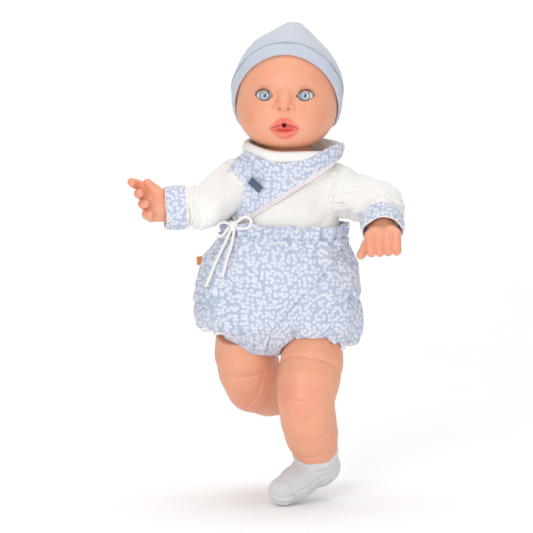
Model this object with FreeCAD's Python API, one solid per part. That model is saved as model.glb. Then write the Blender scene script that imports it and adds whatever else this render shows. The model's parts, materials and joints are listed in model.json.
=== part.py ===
import FreeCAD, Part
import math
import os

# Interactive soft-bodied baby doll, about 48 cm tall with its hat, in millimetres.
# The doll faces -Y, +Z is up and +X is the doll's left. It is modelled in a walking pose:
# left thigh forward with its toe on the ground, right leg folded back behind it.

V = FreeCAD.Vector
Turn = FreeCAD.Rotation
UP = V(0, 0, 1)
LATERAL = V(1, 0, 0)

# ---- driving dimensions ----
HIP_HEIGHT = 182.0          # middle of the hips above the ground
TRUNK_LEAN = 3.0            # degrees, towards the doll's left
HIP_HALF_WIDTH = 40.0
THIGH_LENGTH = 86.0
SHIN_LENGTH = 75.0
FOOT_REACH = 52.0           # ankle to the middle of the toes
HEEL_REACH = 11.0           # ankle to the back of the heel
KNEE_BEND = 60.0
ANKLE_LIFT = 8.0            # how far the foot is moulded up from square to the shin
TOE_IN = 26.0
NECK_HEIGHT = 156.0         # neck ball above the hips
SHOULDER_HEIGHT = 136.0
SHOULDER_HALF_WIDTH = 47.0
UPPER_ARM_LENGTH = 50.0
FOREARM_LENGTH = 38.0
HEAD_HEIGHT = 415.0         # middle of the head above the ground
HEAD_ASIDE = 8.5            # middle of the head, towards the doll's left of the hips
HEAD_TURN = -3.5
HEAD_TILT_UP = 9.0
EYE_HALF_SPACING = 20.0
EYE_RADIUS = 11.0
EYE_PIN_RADIUS = 1.5
EYE_PIN_REACH = 2.2         # how far each eye's pin stands out of the eyeball
EYE_SADDLE = V(1.4, 5.5, 6.0)
SKIN = 3.5                  # wall of the vinyl head
CLOTH_GAP = 0.5             # between curved soft faces on different bodies
CLOTH = 1.5                 # thickness of a garment layer
PUFF_RADIUS = 45.0          # a bloomers leg, a ball round the hip
WEB_HALF = 3.2              # half of the crotch panel between the two bloomers legs
WEB_DROP = 33.0             # the crotch panel below the hips
WEB_REACH = 46.0            # and to the front and back
STUB_RADIUS = 20.0          # stuffed cloth top of a leg
HIP_BOSS_RADIUS = 8.0       # its sewn joint towards the middle of the seat
HEM_DROP = 22.0             # the bloomers' hems below the hips
TWIST_PLANE = 14.0          # where the vinyl leg starts, along the thigh
SHOULDER_PAD_RADIUS = 18.0
SLEEVE_BALL_RADIUS = 26.0
SLEEVE_TUBE_RADIUS = 23.0
ARM_SPLIT = 34.0            # where the vinyl forearm starts, along the upper arm
CUFF_LENGTH = 19.0
PIN_FIT = 0.05              # radial clearance of pins, spigots and guides
CASE = V(56, 26, 64)        # sound module in the belly: width, depth, height
CASE_MIDDLE = V(0, 0, 77.5)
CASE_WALL = 2.0
BUTTON_TRAVEL = 2.5
BUTTON_RISE = -20.0         # belly button, from the middle of the case
SLIDER_TRAVEL = 4.0
SLIDER_WIDTH = 5.0
SPEAKER_RISE = 12.0
BATTERY_RADIUS = 5.25
BATTERY_LENGTH = 44.5
MOUTH_HOLE_RADIUS = 2.0
MOUTH_HOLE_DEPTH = 8.0
MOUTH_TRAVEL = 3.0
MOUTH_LEVEL = -37.5         # in the head's frame
SOCKET_RADIUS = 6.0
SOCKET_STEP = -44.0         # where the mouth socket widens behind the lips
TIE_DIAMETER = 3.0
TOE_FLAT = 0.6              # height pressed off the sock where it meets the ground

# Directions of the posed limbs: swing forward, splay out and turn of each thigh in degrees.
LEG_POSE = {"left": (-30.0, 7.0, -19.0), "right": (26.0, -12.0, -45.0)}
UPPER_ARM_WAY = {"left": V(0.94, -0.18, -0.29), "right": V(-0.70, -0.60, -0.37)}
FOREARM_WAY = {"left": V(0.05, -0.80, -0.60), "right": V(-0.99, -0.10, -0.03)}
HAND_WAY = {"left": V(0.0, -0.98, -0.10), "right": V(-0.92, -0.20, 0.34)}
KNUCKLE_WAY = {"left": V(0.97, -0.20, 0.05), "right": V(-0.30, -0.20, -0.93)}
THUMB_WAY = {"left": V(-0.60, -0.35, -0.70), "right": V(-0.70, -0.20, 0.70)}
FINGER_FAN = {"left": 0.0, "right": 3.0}    # how much further back each next knuckle sits
SIDES = {"left": 1, "right": -1}

parts = {}


# ---- shapes ----
def ellipsoid(radii, centre=V(0, 0, 0)):
    stretch = FreeCAD.Matrix()
    stretch.scale(radii[0], radii[1], radii[2])
    shape = Part.makeSphere(1).transformGeometry(stretch)
    shape.translate(centre)
    return shape


def ball(radius, centre):
    return Part.makeSphere(radius, centre)


def rod(radius, start, end):
    way = end - start
    return Part.makeCylinder(radius, way.Length, start, way)


def block(size, centre):
    corner = centre - size * 0.5
    return Part.makeBox(size.x, size.y, size.z, corner)


def ring_wire(radius, centre, normal):
    return Part.Wire(Part.makeCircle(radius, centre, normal))


def ellipse_wire(half_x, half_y, centre):
    """A level ellipse whose start lies on the X axis whichever way is longer."""
    if half_x >= half_y:
        curve = Part.Ellipse(centre + V(half_x, 0, 0), centre + V(0, half_y, 0), centre)
        return Part.Wire(curve.toShape())
    curve = Part.Ellipse(centre + V(0, half_y, 0), centre + V(-half_x, 0, 0), centre)
    return Part.Wire(curve.toShape())


def tube(points, radii):
    """A soft round bar through the points, with its own radius at each."""
    rings = []
    for i, point in enumerate(points):
        before = points[max(i - 1, 0)]
        after = points[min(i + 1, len(points) - 1)]
        rings.append(ring_wire(radii[i], point, after - before))
    return Part.makeLoft(rings, True, False)


def stack(levels, grow=0.0):
    """A solid through level ellipses (height, half width, half depth)."""
    rings = []
    for height, half_x, half_y in levels:
        rings.append(ellipse_wire(half_x + grow, half_y + grow, V(0, 0, height)))
    return Part.makeLoft(rings, True, False)


def capsule(start, end, radius_start, radius_end):
    """A rounded bar whose two ends are balls."""
    way = end - start
    length = way.Length
    slope = (radius_start - radius_end) / length
    rise = math.sqrt(1 - slope * slope)
    first = V(radius_start * rise, 0, radius_start * slope)
    last = V(radius_end * rise, 0, length + radius_end * slope)
    lean = math.asin(slope)
    low_mid = (lean - math.pi / 2) / 2
    high_mid = (lean + math.pi / 2) / 2
    low = Part.Arc(V(0, 0, -radius_start),
                   V(radius_start * math.cos(low_mid), 0, radius_start * math.sin(low_mid)), first)
    high = Part.Arc(last, V(radius_end * math.cos(high_mid), 0, length + radius_end * math.sin(high_mid)),
                    V(0, 0, length + radius_end))
    axis = Part.LineSegment(V(0, 0, length + radius_end), V(0, 0, -radius_start))
    side = Part.LineSegment(first, last)
    outline = Part.Wire([low.toShape(), side.toShape(), high.toShape(), axis.toShape()])
    solid = Part.Face(outline).revolve(V(0, 0, 0), UP, 360)
    solid.Placement = FreeCAD.Placement(start, Turn(UP, way))
    return solid


def whole(shape):
    """The one solid in a boolean's result, or its largest where crumbs are left."""
    solids = sorted(shape.Solids, key=lambda solid: solid.Volume)
    return solids[-1]


def add(name, shape, placement=None):
    if placement is not None:
        shape = shape.transformed(placement.toMatrix(), True)
    parts[name] = shape


# ---- frames of the posed doll ----
TRUNK = FreeCAD.Placement(V(0, 0, HIP_HEIGHT), Turn(V(0, 1, 0), TRUNK_LEAN))
HEAD_SPIN = Turn(UP, HEAD_TURN).multiply(Turn(LATERAL, -HEAD_TILT_UP))
HEAD = FreeCAD.Placement(V(HEAD_ASIDE, 0, HEAD_HEIGHT), HEAD_SPIN)


def trunk_point(x, y, z):
    return TRUNK.multVec(V(x, y, z))


def unit(way):
    way = V(way)
    return way.normalize()


def leg_frame(side):
    """The thigh's frame: hip at the origin, thigh along -Z, knee facing -Y."""
    swing, splay, turn = LEG_POSE[side]
    spin = TRUNK.Rotation.multiply(Turn(LATERAL, swing))
    spin = spin.multiply(Turn(V(0, 1, 0), splay)).multiply(Turn(UP, turn))
    return FreeCAD.Placement(trunk_point(SIDES[side] * HIP_HALF_WIDTH, 0, 0), spin)


def arm_points(side):
    """Shoulder, elbow and wrist."""
    shoulder = trunk_point(SIDES[side] * SHOULDER_HALF_WIDTH, 0, SHOULDER_HEIGHT)
    elbow = shoulder + unit(UPPER_ARM_WAY[side]) * UPPER_ARM_LENGTH
    wrist = elbow + unit(FOREARM_WAY[side]) * FOREARM_LENGTH
    return shoulder, elbow, wrist


# ---- trunk ----
TORSO = [(-8, 26, 26), (25, 46, 38), (60, 54, 42), (95, 55, 40), (120, 49, 35), (142, 40, 29), (152, 27, 22)]
SEAT = [(20, 81, 46), (40, 83, 53), (62, 77, 53), (82, 61, 47), (88, 60, 46), (96, 61, 47)]


def shoulder_clearance(side):
    """The room that a sleeve sweeps: a ball round the shoulder and a cone along the doll's side."""
    out = V(SIDES[side], 0, 0)
    centre = V(SIDES[side] * SHOULDER_HALF_WIDTH, 0, SHOULDER_HEIGHT)
    cone = Part.makeCone(26.8, 54.5, 34, centre + out * (-8), out)
    return ball(SLEEVE_BALL_RADIUS + CLOTH_GAP, centre).fuse(cone)


def hip_clearance(side):
    return ball(PUFF_RADIUS + CLOTH_GAP, V(SIDES[side] * HIP_HALF_WIDTH, 0, 0))


def clear_of_limbs(shape, shoulders=True, hips=True):
    for side in SIDES:
        if shoulders:
            shape = shape.cut(shoulder_clearance(side))
        if hips:
            shape = shape.cut(hip_clearance(side))
    return whole(shape)


def garment(levels, low, high, inner, outer):
    """A closed ring of cloth over the torso between two heights."""
    band = block(V(300, 300, high - low), V(0, 0, (low + high) / 2))
    return stack(levels, outer).cut(stack(levels, inner)).common(band)


def make_trunk():
    pocket_front = CASE_MIDDLE.y - CASE.y / 2 - 6
    pocket = Part.makeBox(CASE.x + 1, 80, CASE.z + 1,
                          V(-CASE.x / 2 - 0.5, pocket_front, CASE_MIDDLE.z - CASE.z / 2 - 0.5))
    neck_seat = ball(12.3, V(0, 0, NECK_HEIGHT)).fuse(rod(11.6, V(0, 0, NECK_HEIGHT), V(0, 0, 190)))
    neck = rod(17, V(0, 0, 145), V(0, 0, NECK_HEIGHT + 3))
    body = stack(TORSO).cut(pocket).fuse(neck).cut(neck_seat)
    add("trunk_cloth", clear_of_limbs(body), TRUNK)
    tie = rod(18.5, V(0, 0, NECK_HEIGHT - 3), V(0, 0, NECK_HEIGHT + 1.5))
    add("neck_tie", tie.cut(rod(17, V(0, 0, 140), V(0, 0, 170))), TRUNK)
    top = garment(TORSO, 90, 149, CLOTH_GAP, CLOTH_GAP + CLOTH)
    add("wrap_top", clear_of_limbs(top, hips=False), TRUNK)
    add("wrap_panel", make_panel(), TRUNK)
    band = stack([(150, 33, 26), (160, 40, 31), (169, 44, 35)])
    band = band.cut(stack([(149, 31, 24), (160, 38, 29), (170, 42, 33)]))
    add("neck_band", clear_of_limbs(band, hips=False), TRUNK)
    tab_spot = FreeCAD.Placement(V(-31, -33.5, 140), Turn(UP, -38).multiply(Turn(V(0, 1, 0), 38)))
    tab = block(V(14, 0.8, 5), V(0, 0, 0)).transformed(tab_spot.toMatrix(), True)
    add("neck_tab", tab, TRUNK)
    make_bloomers_seat()


def make_panel():
    """The printed flap: everything above a line falling from the left shoulder to the right waist."""
    corners = [V(-70, -70, 149), V(-70, -70, 97), V(-53, -70, 90), V(46, -70, 149)]
    face = Part.Face(Part.makePolygon(corners + [corners[0]]))
    prism = face.extrude(V(0, 70, 0))
    flap = garment(TORSO, 90, 149, CLOTH_GAP * 2 + CLOTH, CLOTH_GAP * 2 + CLOTH * 1.7)
    return clear_of_limbs(flap.common(prism), hips=False)


def make_bloomers_seat():
    seat = stack(SEAT).cut(stack(TORSO, CLOTH_GAP * 2 + CLOTH * 2))
    seat = clear_of_limbs(seat, shoulders=False)
    web = Part.Face(ellipse_wire(WEB_DROP, WEB_REACH, V(0, 0, -WEB_HALF))).extrude(V(0, 0, 2 * WEB_HALF))
    web = web.rotated(V(0, 0, 0), V(0, 1, 0), 90)
    body_inside = stack(TORSO, CLOTH_GAP * 2 + CLOTH)
    add("bloomers_seat", whole(seat.fuse(web.cut(body_inside))), TRUNK)
    label = block(V(9, 0.8, 8), V(0, 0, 0))
    label_spot = FreeCAD.Placement(V(-80, -6, 57), Turn(V(0, 1, 0), 8))
    add("side_label", whole(label.transformed(label_spot.toMatrix(), True).cut(stack(SEAT))), TRUNK)


# ---- sound module in the belly ----
def make_module():
    half = CASE * 0.5
    inner = V(CASE.x - 2 * CASE_WALL, CASE.y - 2 * CASE_WALL, CASE.z - 2 * CASE_WALL)
    shell = block(CASE, CASE_MIDDLE).cut(block(inner, CASE_MIDDLE))
    button_spot = CASE_MIDDLE + V(0, -half.y, BUTTON_RISE)
    front_half = block(V(CASE.x, half.y, CASE.z), CASE_MIDDLE + V(0, -half.y / 2, 0))
    back_half = block(V(CASE.x, half.y, CASE.z), CASE_MIDDLE + V(0, half.y / 2, 0))
    guide = rod(8, button_spot, button_spot + V(0, 9, 0))
    front = shell.common(front_half).fuse(guide).cut(rod(6 + PIN_FIT, button_spot - V(0, 1, 0),
                                                         button_spot + V(0, 7, 0)))
    speaker_spot = CASE_MIDDLE + V(0, -half.y + CASE_WALL + 0.2, SPEAKER_RISE)
    for row in (-8, 0, 8):
        for column in (-8, 0, 8):
            hole_spot = V(speaker_spot.x + column, CASE_MIDDLE.y - half.y - 1, speaker_spot.z + row)
            front = front.cut(rod(1.5, hole_spot, hole_spot + V(0, CASE_WALL + 2, 0)))
    screw_spots = [V(x * 24.5, 0, z * 28.5) + CASE_MIDDLE for x in (-1, 1) for z in (-1, 1)]
    back = shell.common(back_half)
    screws = []
    for spot in screw_spots:
        post = block(V(5, half.y - CASE_WALL, 5), spot + V(0, half.y / 2 - CASE_WALL / 2, 0))
        shaft = rod(1.0, spot + V(0, 0.5, 0), spot + V(0, half.y - 1, 0))
        head = rod(1.9, spot + V(0, half.y - 1, 0), spot + V(0, half.y, 0))
        back = back.fuse(post).cut(shaft.fuse(head))
        screws.append(shaft.fuse(head))
    door_size = V(40, CASE_WALL, 47)
    door_spot = CASE_MIDDLE + V(0, half.y - CASE_WALL / 2, -1)
    door_screw_spot = door_spot + V(0, 0, 20)
    slider_spot = CASE_MIDDLE + V(0, half.y, 27.5)
    slider_slot = block(V(SLIDER_WIDTH + SLIDER_TRAVEL + 1, 6, 3.2), slider_spot + V(SLIDER_TRAVEL / 2, 0, 0))
    opening = block(V(door_size.x + 0.2, 6, door_size.z + 0.2), door_spot)
    back = whole(back.cut(opening).cut(slider_slot))
    add("module_case_front", whole(front), TRUNK)
    add("module_case_back", back, TRUNK)
    add("case_screws", Part.makeCompound(screws), TRUNK)
    door_screw = rod(2, door_screw_spot + V(0, CASE_WALL / 2 - 1, 0), door_screw_spot + V(0, CASE_WALL / 2, 0))
    door_screw = door_screw.fuse(rod(1, door_screw_spot - V(0, 1.2, 0), door_screw_spot + V(0, 1, 0)))
    add("battery_door", block(door_size, door_spot).cut(door_screw), TRUNK)
    add("battery_door_screw", door_screw, TRUNK)
    cells = []
    plates = []
    for column in (-12, 0, 12):
        foot = CASE_MIDDLE + V(column, half.y - CASE_WALL - BATTERY_RADIUS - 0.6, -BATTERY_LENGTH / 2 - 3)
        cells.append(rod(BATTERY_RADIUS, foot, foot + V(0, 0, BATTERY_LENGTH)))
        plates.append(block(V(8, 7, 0.8), foot + V(0, 0, -0.5)))
        plates.append(block(V(8, 7, 0.8), foot + V(0, 0, BATTERY_LENGTH + 0.5)))
    add("batteries", Part.makeCompound(cells), TRUNK)
    add("battery_contacts", Part.makeCompound(plates), TRUNK)
    cone = rod(17, speaker_spot, speaker_spot + V(0, 3, 0)).fuse(
        rod(8, speaker_spot + V(0, 3, 0), speaker_spot + V(0, 8, 0)))
    add("speaker", cone, TRUNK)
    add("circuit_board", block(V(44, 1.2, 20), CASE_MIDDLE + V(0, -1.6, BUTTON_RISE)).cut(
        rod(8.3, button_spot, button_spot + V(0, 20, 0))), TRUNK)
    make_belly_button(button_spot)
    slider = block(V(SLIDER_WIDTH, 3.4, 2.6), slider_spot - V(0, 0.6, 0))
    flange = block(V(SLIDER_WIDTH + 2, 1, 5), slider_spot - V(0, CASE_WALL + 0.6, 0))
    add("power_slider", slider.fuse(flange), TRUNK)


def make_belly_button(spot):
    cap = rod(10, spot + V(0, -4.2, 0), spot + V(0, -BUTTON_TRAVEL - 0.2, 0))
    stem = rod(6, spot + V(0, -BUTTON_TRAVEL - 0.2, 0), spot + V(0, 3.5, 0))
    add("belly_button", cap.fuse(stem), TRUNK)
    coil = rod(4, spot + V(0, 3.5, 0), spot + V(0, 7, 0)).cut(rod(3, spot, spot + V(0, 9, 0)))
    add("belly_spring", coil, TRUNK)


# ---- neck and head ----
NECK_STEM = 9.0


def make_neck():
    base = trunk_point(0, 0, NECK_HEIGHT)
    way = HEAD.Rotation.multVec(UP)
    stem_top = base + way * 24
    plug = ball(12, base).fuse(rod(NECK_STEM, base, stem_top))
    disc = rod(15, stem_top, stem_top + way * 4)
    add("neck_plug", plug.fuse(disc))


CRANIUM = ((53, 60, 52), V(0, 5, 8))
JAW = ((50, 44, 43), V(0, -12, -19))


def skull(grow):
    """Cranium and jaw as one solid, grown by a wall thickness."""
    balls = []
    for radii, centre in (CRANIUM, JAW):
        balls.append(ellipsoid([radius + grow for radius in radii], centre))
    return balls[0].fuse(balls[1])


def eye_spot(side):
    return V(SIDES[side] * EYE_HALF_SPACING, -39.5, -8)


def make_head():
    """The head in its own frame: middle at the origin, face towards -Y."""
    spin_back = HEAD.inverse()
    neck_base = spin_back.multVec(trunk_point(0, 0, NECK_HEIGHT))
    outer = skull(0)
    outer = outer.fuse(ellipsoid((7.5, 7, 6), V(0, -52, -20)))
    for side in SIDES:
        ear = ellipsoid((4.5, 9, 14), V(SIDES[side] * 51, 8, -8))
        outer = outer.fuse(ear)
    lips = ellipsoid((14, 4, 9.5), V(0, -51, MOUTH_LEVEL - 2))
    outer = outer.fuse(lips)
    cavity = skull(-SKIN)
    collar_low = neck_base + V(0, 0, 13)
    collar_high = neck_base + V(0, 0, 23.7)
    collar = rod(20, collar_low, collar_high)
    shell = outer.cut(cavity).fuse(collar)
    shell = shell.cut(rod(NECK_STEM + PIN_FIT, neck_base, neck_base + V(0, 0, 40)))
    shell = shell.cut(rod(17, neck_base + V(0, 0, 23.7), neck_base + V(0, 0, 32)))
    shell = shell.cut(block(V(60, 60, 40), neck_base + V(0, 0, 13 - 20)))
    for side in SIDES:
        spot = eye_spot(side)
        shell = shell.cut(ball(EYE_RADIUS + 1.0, spot))
        shell = shell.cut(ellipsoid((7.8, 14, 5.6), spot + V(0, -8, 0)))
        pin_reach = V(EYE_RADIUS + EYE_PIN_REACH + 0.3, 0, 0)
        shell = shell.cut(rod(EYE_PIN_RADIUS + 0.4, spot - pin_reach, spot + pin_reach))
        for end in (-1, 1):
            room = EYE_SADDLE + V(0.6, 0.4, 0.6)
            shell = shell.cut(block(room, spot + V(end * (EYE_RADIUS + 1.5), EYE_SADDLE.y / 2, 0)))
    tunnel = rod(SOCKET_RADIUS + PIN_FIT, V(0, SOCKET_STEP, MOUTH_LEVEL), V(0, -20, MOUTH_LEVEL))
    nozzle_room = rod(MOUTH_HOLE_RADIUS + 3, V(0, -60, MOUTH_LEVEL), V(0, SOCKET_STEP, MOUTH_LEVEL))
    shell = shell.cut(tunnel).cut(nozzle_room)
    add("head_shell", whole(shell), HEAD)
    make_mouth()
    make_eyes()
    make_hat()


def make_mouth():
    face = V(0, -50, MOUTH_LEVEL)
    back = V(0, -27, MOUTH_LEVEL)
    step = V(0, SOCKET_STEP + 0.1, MOUTH_LEVEL)
    guide_mouth = V(0, -50 + MOUTH_HOLE_DEPTH, MOUTH_LEVEL)
    socket = rod(MOUTH_HOLE_RADIUS + 3 - PIN_FIT, face, step).fuse(rod(SOCKET_RADIUS, step, back))
    socket = socket.cut(rod(MOUTH_HOLE_RADIUS, face, guide_mouth))
    socket = socket.cut(rod(3 + PIN_FIT, guide_mouth, back - V(0, 1, 0)))
    add("mouth_socket", socket, HEAD)
    plunger_end = guide_mouth + V(0, MOUTH_TRAVEL + 4, 0)
    add("mouth_plunger", rod(3, guide_mouth + V(0, 0.1, 0), plunger_end), HEAD)
    coil = rod(2.4, plunger_end, back - V(0, 1, 0)).cut(rod(1.6, plunger_end, back))
    add("mouth_spring", coil, HEAD)


def make_eyes():
    for side in SIDES:
        centre = eye_spot(side)
        reach = V(EYE_RADIUS + EYE_PIN_REACH, 0, 0)
        eye = ball(EYE_RADIUS, centre).fuse(rod(EYE_PIN_RADIUS, centre - reach, centre + reach))
        add("eyeball_" + side, eye, HEAD)
        lid = ball(EYE_RADIUS + 0.7, centre).cut(ball(EYE_RADIUS + 0.03, centre))
        lid = lid.common(block(V(20, 30, 30), centre + V(0, 4, 19)))
        add("eyelid_" + side, whole(lid), HEAD)
        foot = centre + V(0, 0, -17)
        weight = ball(4.2, foot).fuse(rod(1.2, foot, centre - V(0, 0, EYE_RADIUS - 0.5)))
        add("eye_weight_" + side, weight.cut(ball(EYE_RADIUS, centre)), HEAD)
        frame = block(V(2 * EYE_RADIUS + 4.4, 3, 4), centre + V(0, 23.5, 1))
        for end in (-1, 1):
            saddle = block(EYE_SADDLE, centre + V(end * (EYE_RADIUS + 1.5), EYE_SADDLE.y / 2, 0))
            arm = block(V(1.4, 20, 4), centre + V(end * (EYE_RADIUS + 1.5), 15, 1))
            frame = frame.fuse(saddle).fuse(arm)
        frame = frame.cut(rod(EYE_PIN_RADIUS + PIN_FIT, centre - reach * 1.2, centre + reach * 1.2))
        add("eye_frame_" + side, frame, HEAD)


# ---- hat ----
HAT_EDGE_SLOPE = 35.5       # degrees from upright, in the head's frame
CUFF_BAND = 17.0


def hat_layer(inner, outer):
    """The room between two offsets of the skull."""
    return skull(outer).cut(skull(inner))


def face_plane(back_by):
    """A slab in front of the hat's edge, which runs from the forehead down past the ears."""
    slab = Part.makeBox(200, 200, 300, V(-100, -200, -150))
    slab.Placement = FreeCAD.Placement(V(0, -20 + back_by, -7), Turn(LATERAL, HAT_EDGE_SLOPE))
    return slab


def make_hat():
    below = block(V(200, 200, 100), V(0, 0, -36 - 50))
    ears = [ellipsoid((4.8, 9.3, 14.3), V(SIDES[side] * 51, 8, -8)) for side in SIDES]
    cuff = hat_layer(0.6, 4.6).cut(face_plane(0)).common(face_plane(CUFF_BAND)).cut(below).cut(ears)
    add("hat_cuff", whole(cuff), HEAD)
    peak = capsule(V(3, 7, 22), V(8.5, 6, 65), 40, 7)
    crown = skull(3.2).fuse(peak).cut(skull(0.6))
    crown = crown.cut(face_plane(CUFF_BAND + 0.2)).cut(below).cut(ears)
    add("hat_crown", whole(crown), HEAD)


# ---- arms ----
def make_arm(side):
    shoulder, elbow, wrist = arm_points(side)
    upper = unit(elbow - shoulder)
    fore = unit(wrist - elbow)
    split = shoulder + upper * ARM_SPLIT
    after = shoulder + upper * (ARM_SPLIT + 0.5)
    add("shoulder_" + side, ball(SHOULDER_PAD_RADIUS, shoulder))
    stuffed = rod(17, shoulder + upper * 4, split).cut(ball(SHOULDER_PAD_RADIUS + 0.3, shoulder))
    spigot = rod(7, shoulder + upper * 22, after)
    add("upper_arm_" + side, whole(stuffed.cut(rod(7 + PIN_FIT, shoulder + upper * 22, after))))
    arm = tube([after, elbow, elbow + fore * 20, wrist], [16.5, 16.5, 16.5, 12.2])
    add("forearm_" + side, whole(arm.multiFuse([spigot, make_hand(side, wrist)])))
    make_sleeve(side)


def make_sleeve(side):
    shoulder, elbow, wrist = arm_points(side)
    upper = unit(elbow - shoulder)
    fore = unit(wrist - elbow)
    split = shoulder + upper * ARM_SPLIT
    after = shoulder + upper * (ARM_SPLIT + 0.5)
    outer = ball(SLEEVE_BALL_RADIUS, shoulder).fuse(rod(SLEEVE_TUBE_RADIUS, shoulder, split))
    inner = ball(SLEEVE_BALL_RADIUS - 5, shoulder).fuse(rod(18, shoulder, split + upper))
    open_side = rod(40, shoulder - upper * 60, shoulder - upper * 4)
    add("sleeve_upper_" + side, whole(outer.cut(inner).cut(open_side)))
    end = elbow + fore * (FOREARM_LENGTH - CUFF_LENGTH)
    path = [after, elbow, end]
    lower = tube(path, [SLEEVE_TUBE_RADIUS, SLEEVE_TUBE_RADIUS - 2, 20.5])
    lower = lower.cut(tube(path, [18.2, 18.2, 18.2]))
    add("sleeve_lower_" + side, whole(lower))
    cuff = tube([end, elbow + fore * FOREARM_LENGTH], [20.5, 18.5])
    add("cuff_" + side, cuff.cut(tube([end - fore, elbow + fore * (FOREARM_LENGTH + 1)], [18.2, 16.5])))


def make_hand(side, wrist):
    """Palm, four curled fingers and a thumb that stands away from them."""
    way = unit(HAND_WAY[side])
    across = unit(KNUCKLE_WAY[side] - way * KNUCKLE_WAY[side].dot(way))
    palm_way = way.cross(across) * (-1 if side == "left" else 1)
    knuckles = wrist + way * 20
    bars = []
    for finger in range(4):
        offset = (finger - 1.5) * 8.6
        root = knuckles + across * offset - way * FINGER_FAN[side] * finger
        start = wrist + across * offset * 0.55 + way * 2
        bars.append(capsule(start, root, 8.0, 6.4))
        bend = root + way * 6 + palm_way * 5
        bars.append(capsule(root, bend, 6.2, 5.4))
        bars.append(capsule(bend, bend + palm_way * 7 - way * 3, 5.3, 4.6))
    thumb_base = wrist - across * 8 + way * 7 + palm_way * 3
    thumb_end = thumb_base + unit(THUMB_WAY[side]) * 24
    bars.append(capsule(thumb_base, thumb_end, 6.8, 4.4))
    return capsule(wrist - way * 2, wrist + way * 4, 13.7, 12.9).multiFuse(bars)


# ---- legs ----
THIGH_TOP = [V(0, 0, -TWIST_PLANE - 0.5), V(0, 0, -24), V(0, 0, -42), V(0, 0, -64)]
THIGH_RADII = [20, 27, 30, 30]
SHIN_RADII = [27, 26.5, 25, 20.5, 18.5]


def foot_ways(side):
    """Along the shin and along the foot, in the thigh's frame."""
    knee = math.radians(KNEE_BEND)
    lift = math.radians(ANKLE_LIFT)
    shin = V(0, math.sin(knee), -math.cos(knee))
    square = V(0, -math.cos(knee), -math.sin(knee))
    foot = square * math.cos(lift) - shin * math.sin(lift)
    return shin, Turn(shin, SIDES[side] * TOE_IN).multVec(foot)


def make_leg(side):
    frame = leg_frame(side)
    shin, foot = foot_ways(side)
    lateral = V(-SIDES[side], 0, 0)
    stub = ball(STUB_RADIUS, V(0, 0, 0))
    spigot = rod(8, V(0, 0, -TWIST_PLANE - 1), V(0, 0, -3))
    spigot_room = rod(8 + PIN_FIT, V(0, 0, -TWIST_PLANE - 5), V(0, 0, -2.8))
    stub = stub.cut(rod(40, V(0, 0, -TWIST_PLANE), V(0, 0, -60))).cut(spigot_room)
    boss_way = frame.Rotation.inverted().multVec(TRUNK.Rotation.multVec(lateral))
    boss = rod(HIP_BOSS_RADIUS, V(0, 0, 0), boss_way * (HIP_HALF_WIDTH - WEB_HALF - CLOTH_GAP))
    stub = stub.fuse(boss.cut(spigot_room))
    add("thigh_" + side, whole(stub), frame)
    knee = V(0, 0, -THIGH_LENGTH)
    ankle = knee + shin * SHIN_LENGTH
    middle = knee + V(0, 2, 3)
    path = THIGH_TOP + [middle, knee + shin * 22, knee + shin * 42, knee + shin * 60, ankle + shin * 4]
    leg = tube(path, THIGH_RADII + SHIN_RADII)
    leg = leg.fuse(spigot).fuse(make_foot(ankle, shin, foot, 0))
    add("leg_" + side, whole(leg), frame)
    sock = make_foot(ankle, shin, foot, 1.6)
    rim = ankle - shin * 14
    sock = sock.fuse(tube([rim, ankle - shin * 4, ankle + shin * 6], [22.4, 21.3, 20.0]))
    add("sock_" + side, whole(sock.cut(leg_clearance(path, ankle, shin, foot))), frame)
    make_puff(side, frame)


def make_foot(ankle, shin, foot, grow):
    """Heel and toes as two rounded bars, grown for the sock."""
    sole_drop = shin * 9
    heel = ankle - foot * (HEEL_REACH - 6) + sole_drop * 0.9
    ball_of_foot = ankle + foot * (FOOT_REACH * 0.62) + sole_drop * 1.05
    toes = ankle + foot * FOOT_REACH + sole_drop * 1.15
    shape = capsule(ankle, heel, 17.5 + grow, 16 + grow)
    shape = shape.fuse(capsule(ankle, ball_of_foot, 16.8 + grow, 15 + grow))
    shape = shape.fuse(capsule(heel, ball_of_foot, 15.5 + grow, 14.9 + grow))
    return shape.fuse(capsule(ball_of_foot, toes, 15 + grow, 13.5 + grow))


def leg_clearance(path, ankle, shin, foot):
    """The bare leg and foot grown by a hair, which the sock is hollowed with."""
    bare = tube(path, [radius + 0.3 for radius in THIGH_RADII + SHIN_RADII])
    return bare.fuse(make_foot(ankle, shin, foot, 0.3))


def make_puff(side, frame):
    """A bloomers leg: a ball of gathered cloth round the hip, open for the thigh."""
    down = frame.Rotation.inverted().multVec(TRUNK.Rotation.multVec(V(0, 0, -1)))
    puff = ball(PUFF_RADIUS, V(0, 0, 0)).cut(rod(80, down * HEM_DROP, down * 90))
    room = tube([V(0, 0, -TWIST_PLANE + 0.3)] + THIGH_TOP[1:], [radius + 0.8 for radius in THIGH_RADII])
    puff = puff.cut(ball(STUB_RADIUS + 0.4, V(0, 0, 0))).cut(room)
    cut_way = frame.Rotation.inverted().multVec(TRUNK.Rotation.multVec(V(-SIDES[side], 0, 0)))
    face_spot = cut_way * (HIP_HALF_WIDTH - WEB_HALF - CLOTH_GAP)
    puff = puff.cut(rod(80, face_spot, face_spot + cut_way * 60))
    puff = puff.cut(rod(HIP_BOSS_RADIUS + 0.4, V(0, 0, 0), cut_way * 60))
    add("bloomers_leg_" + side, whole(puff), frame)


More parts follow.
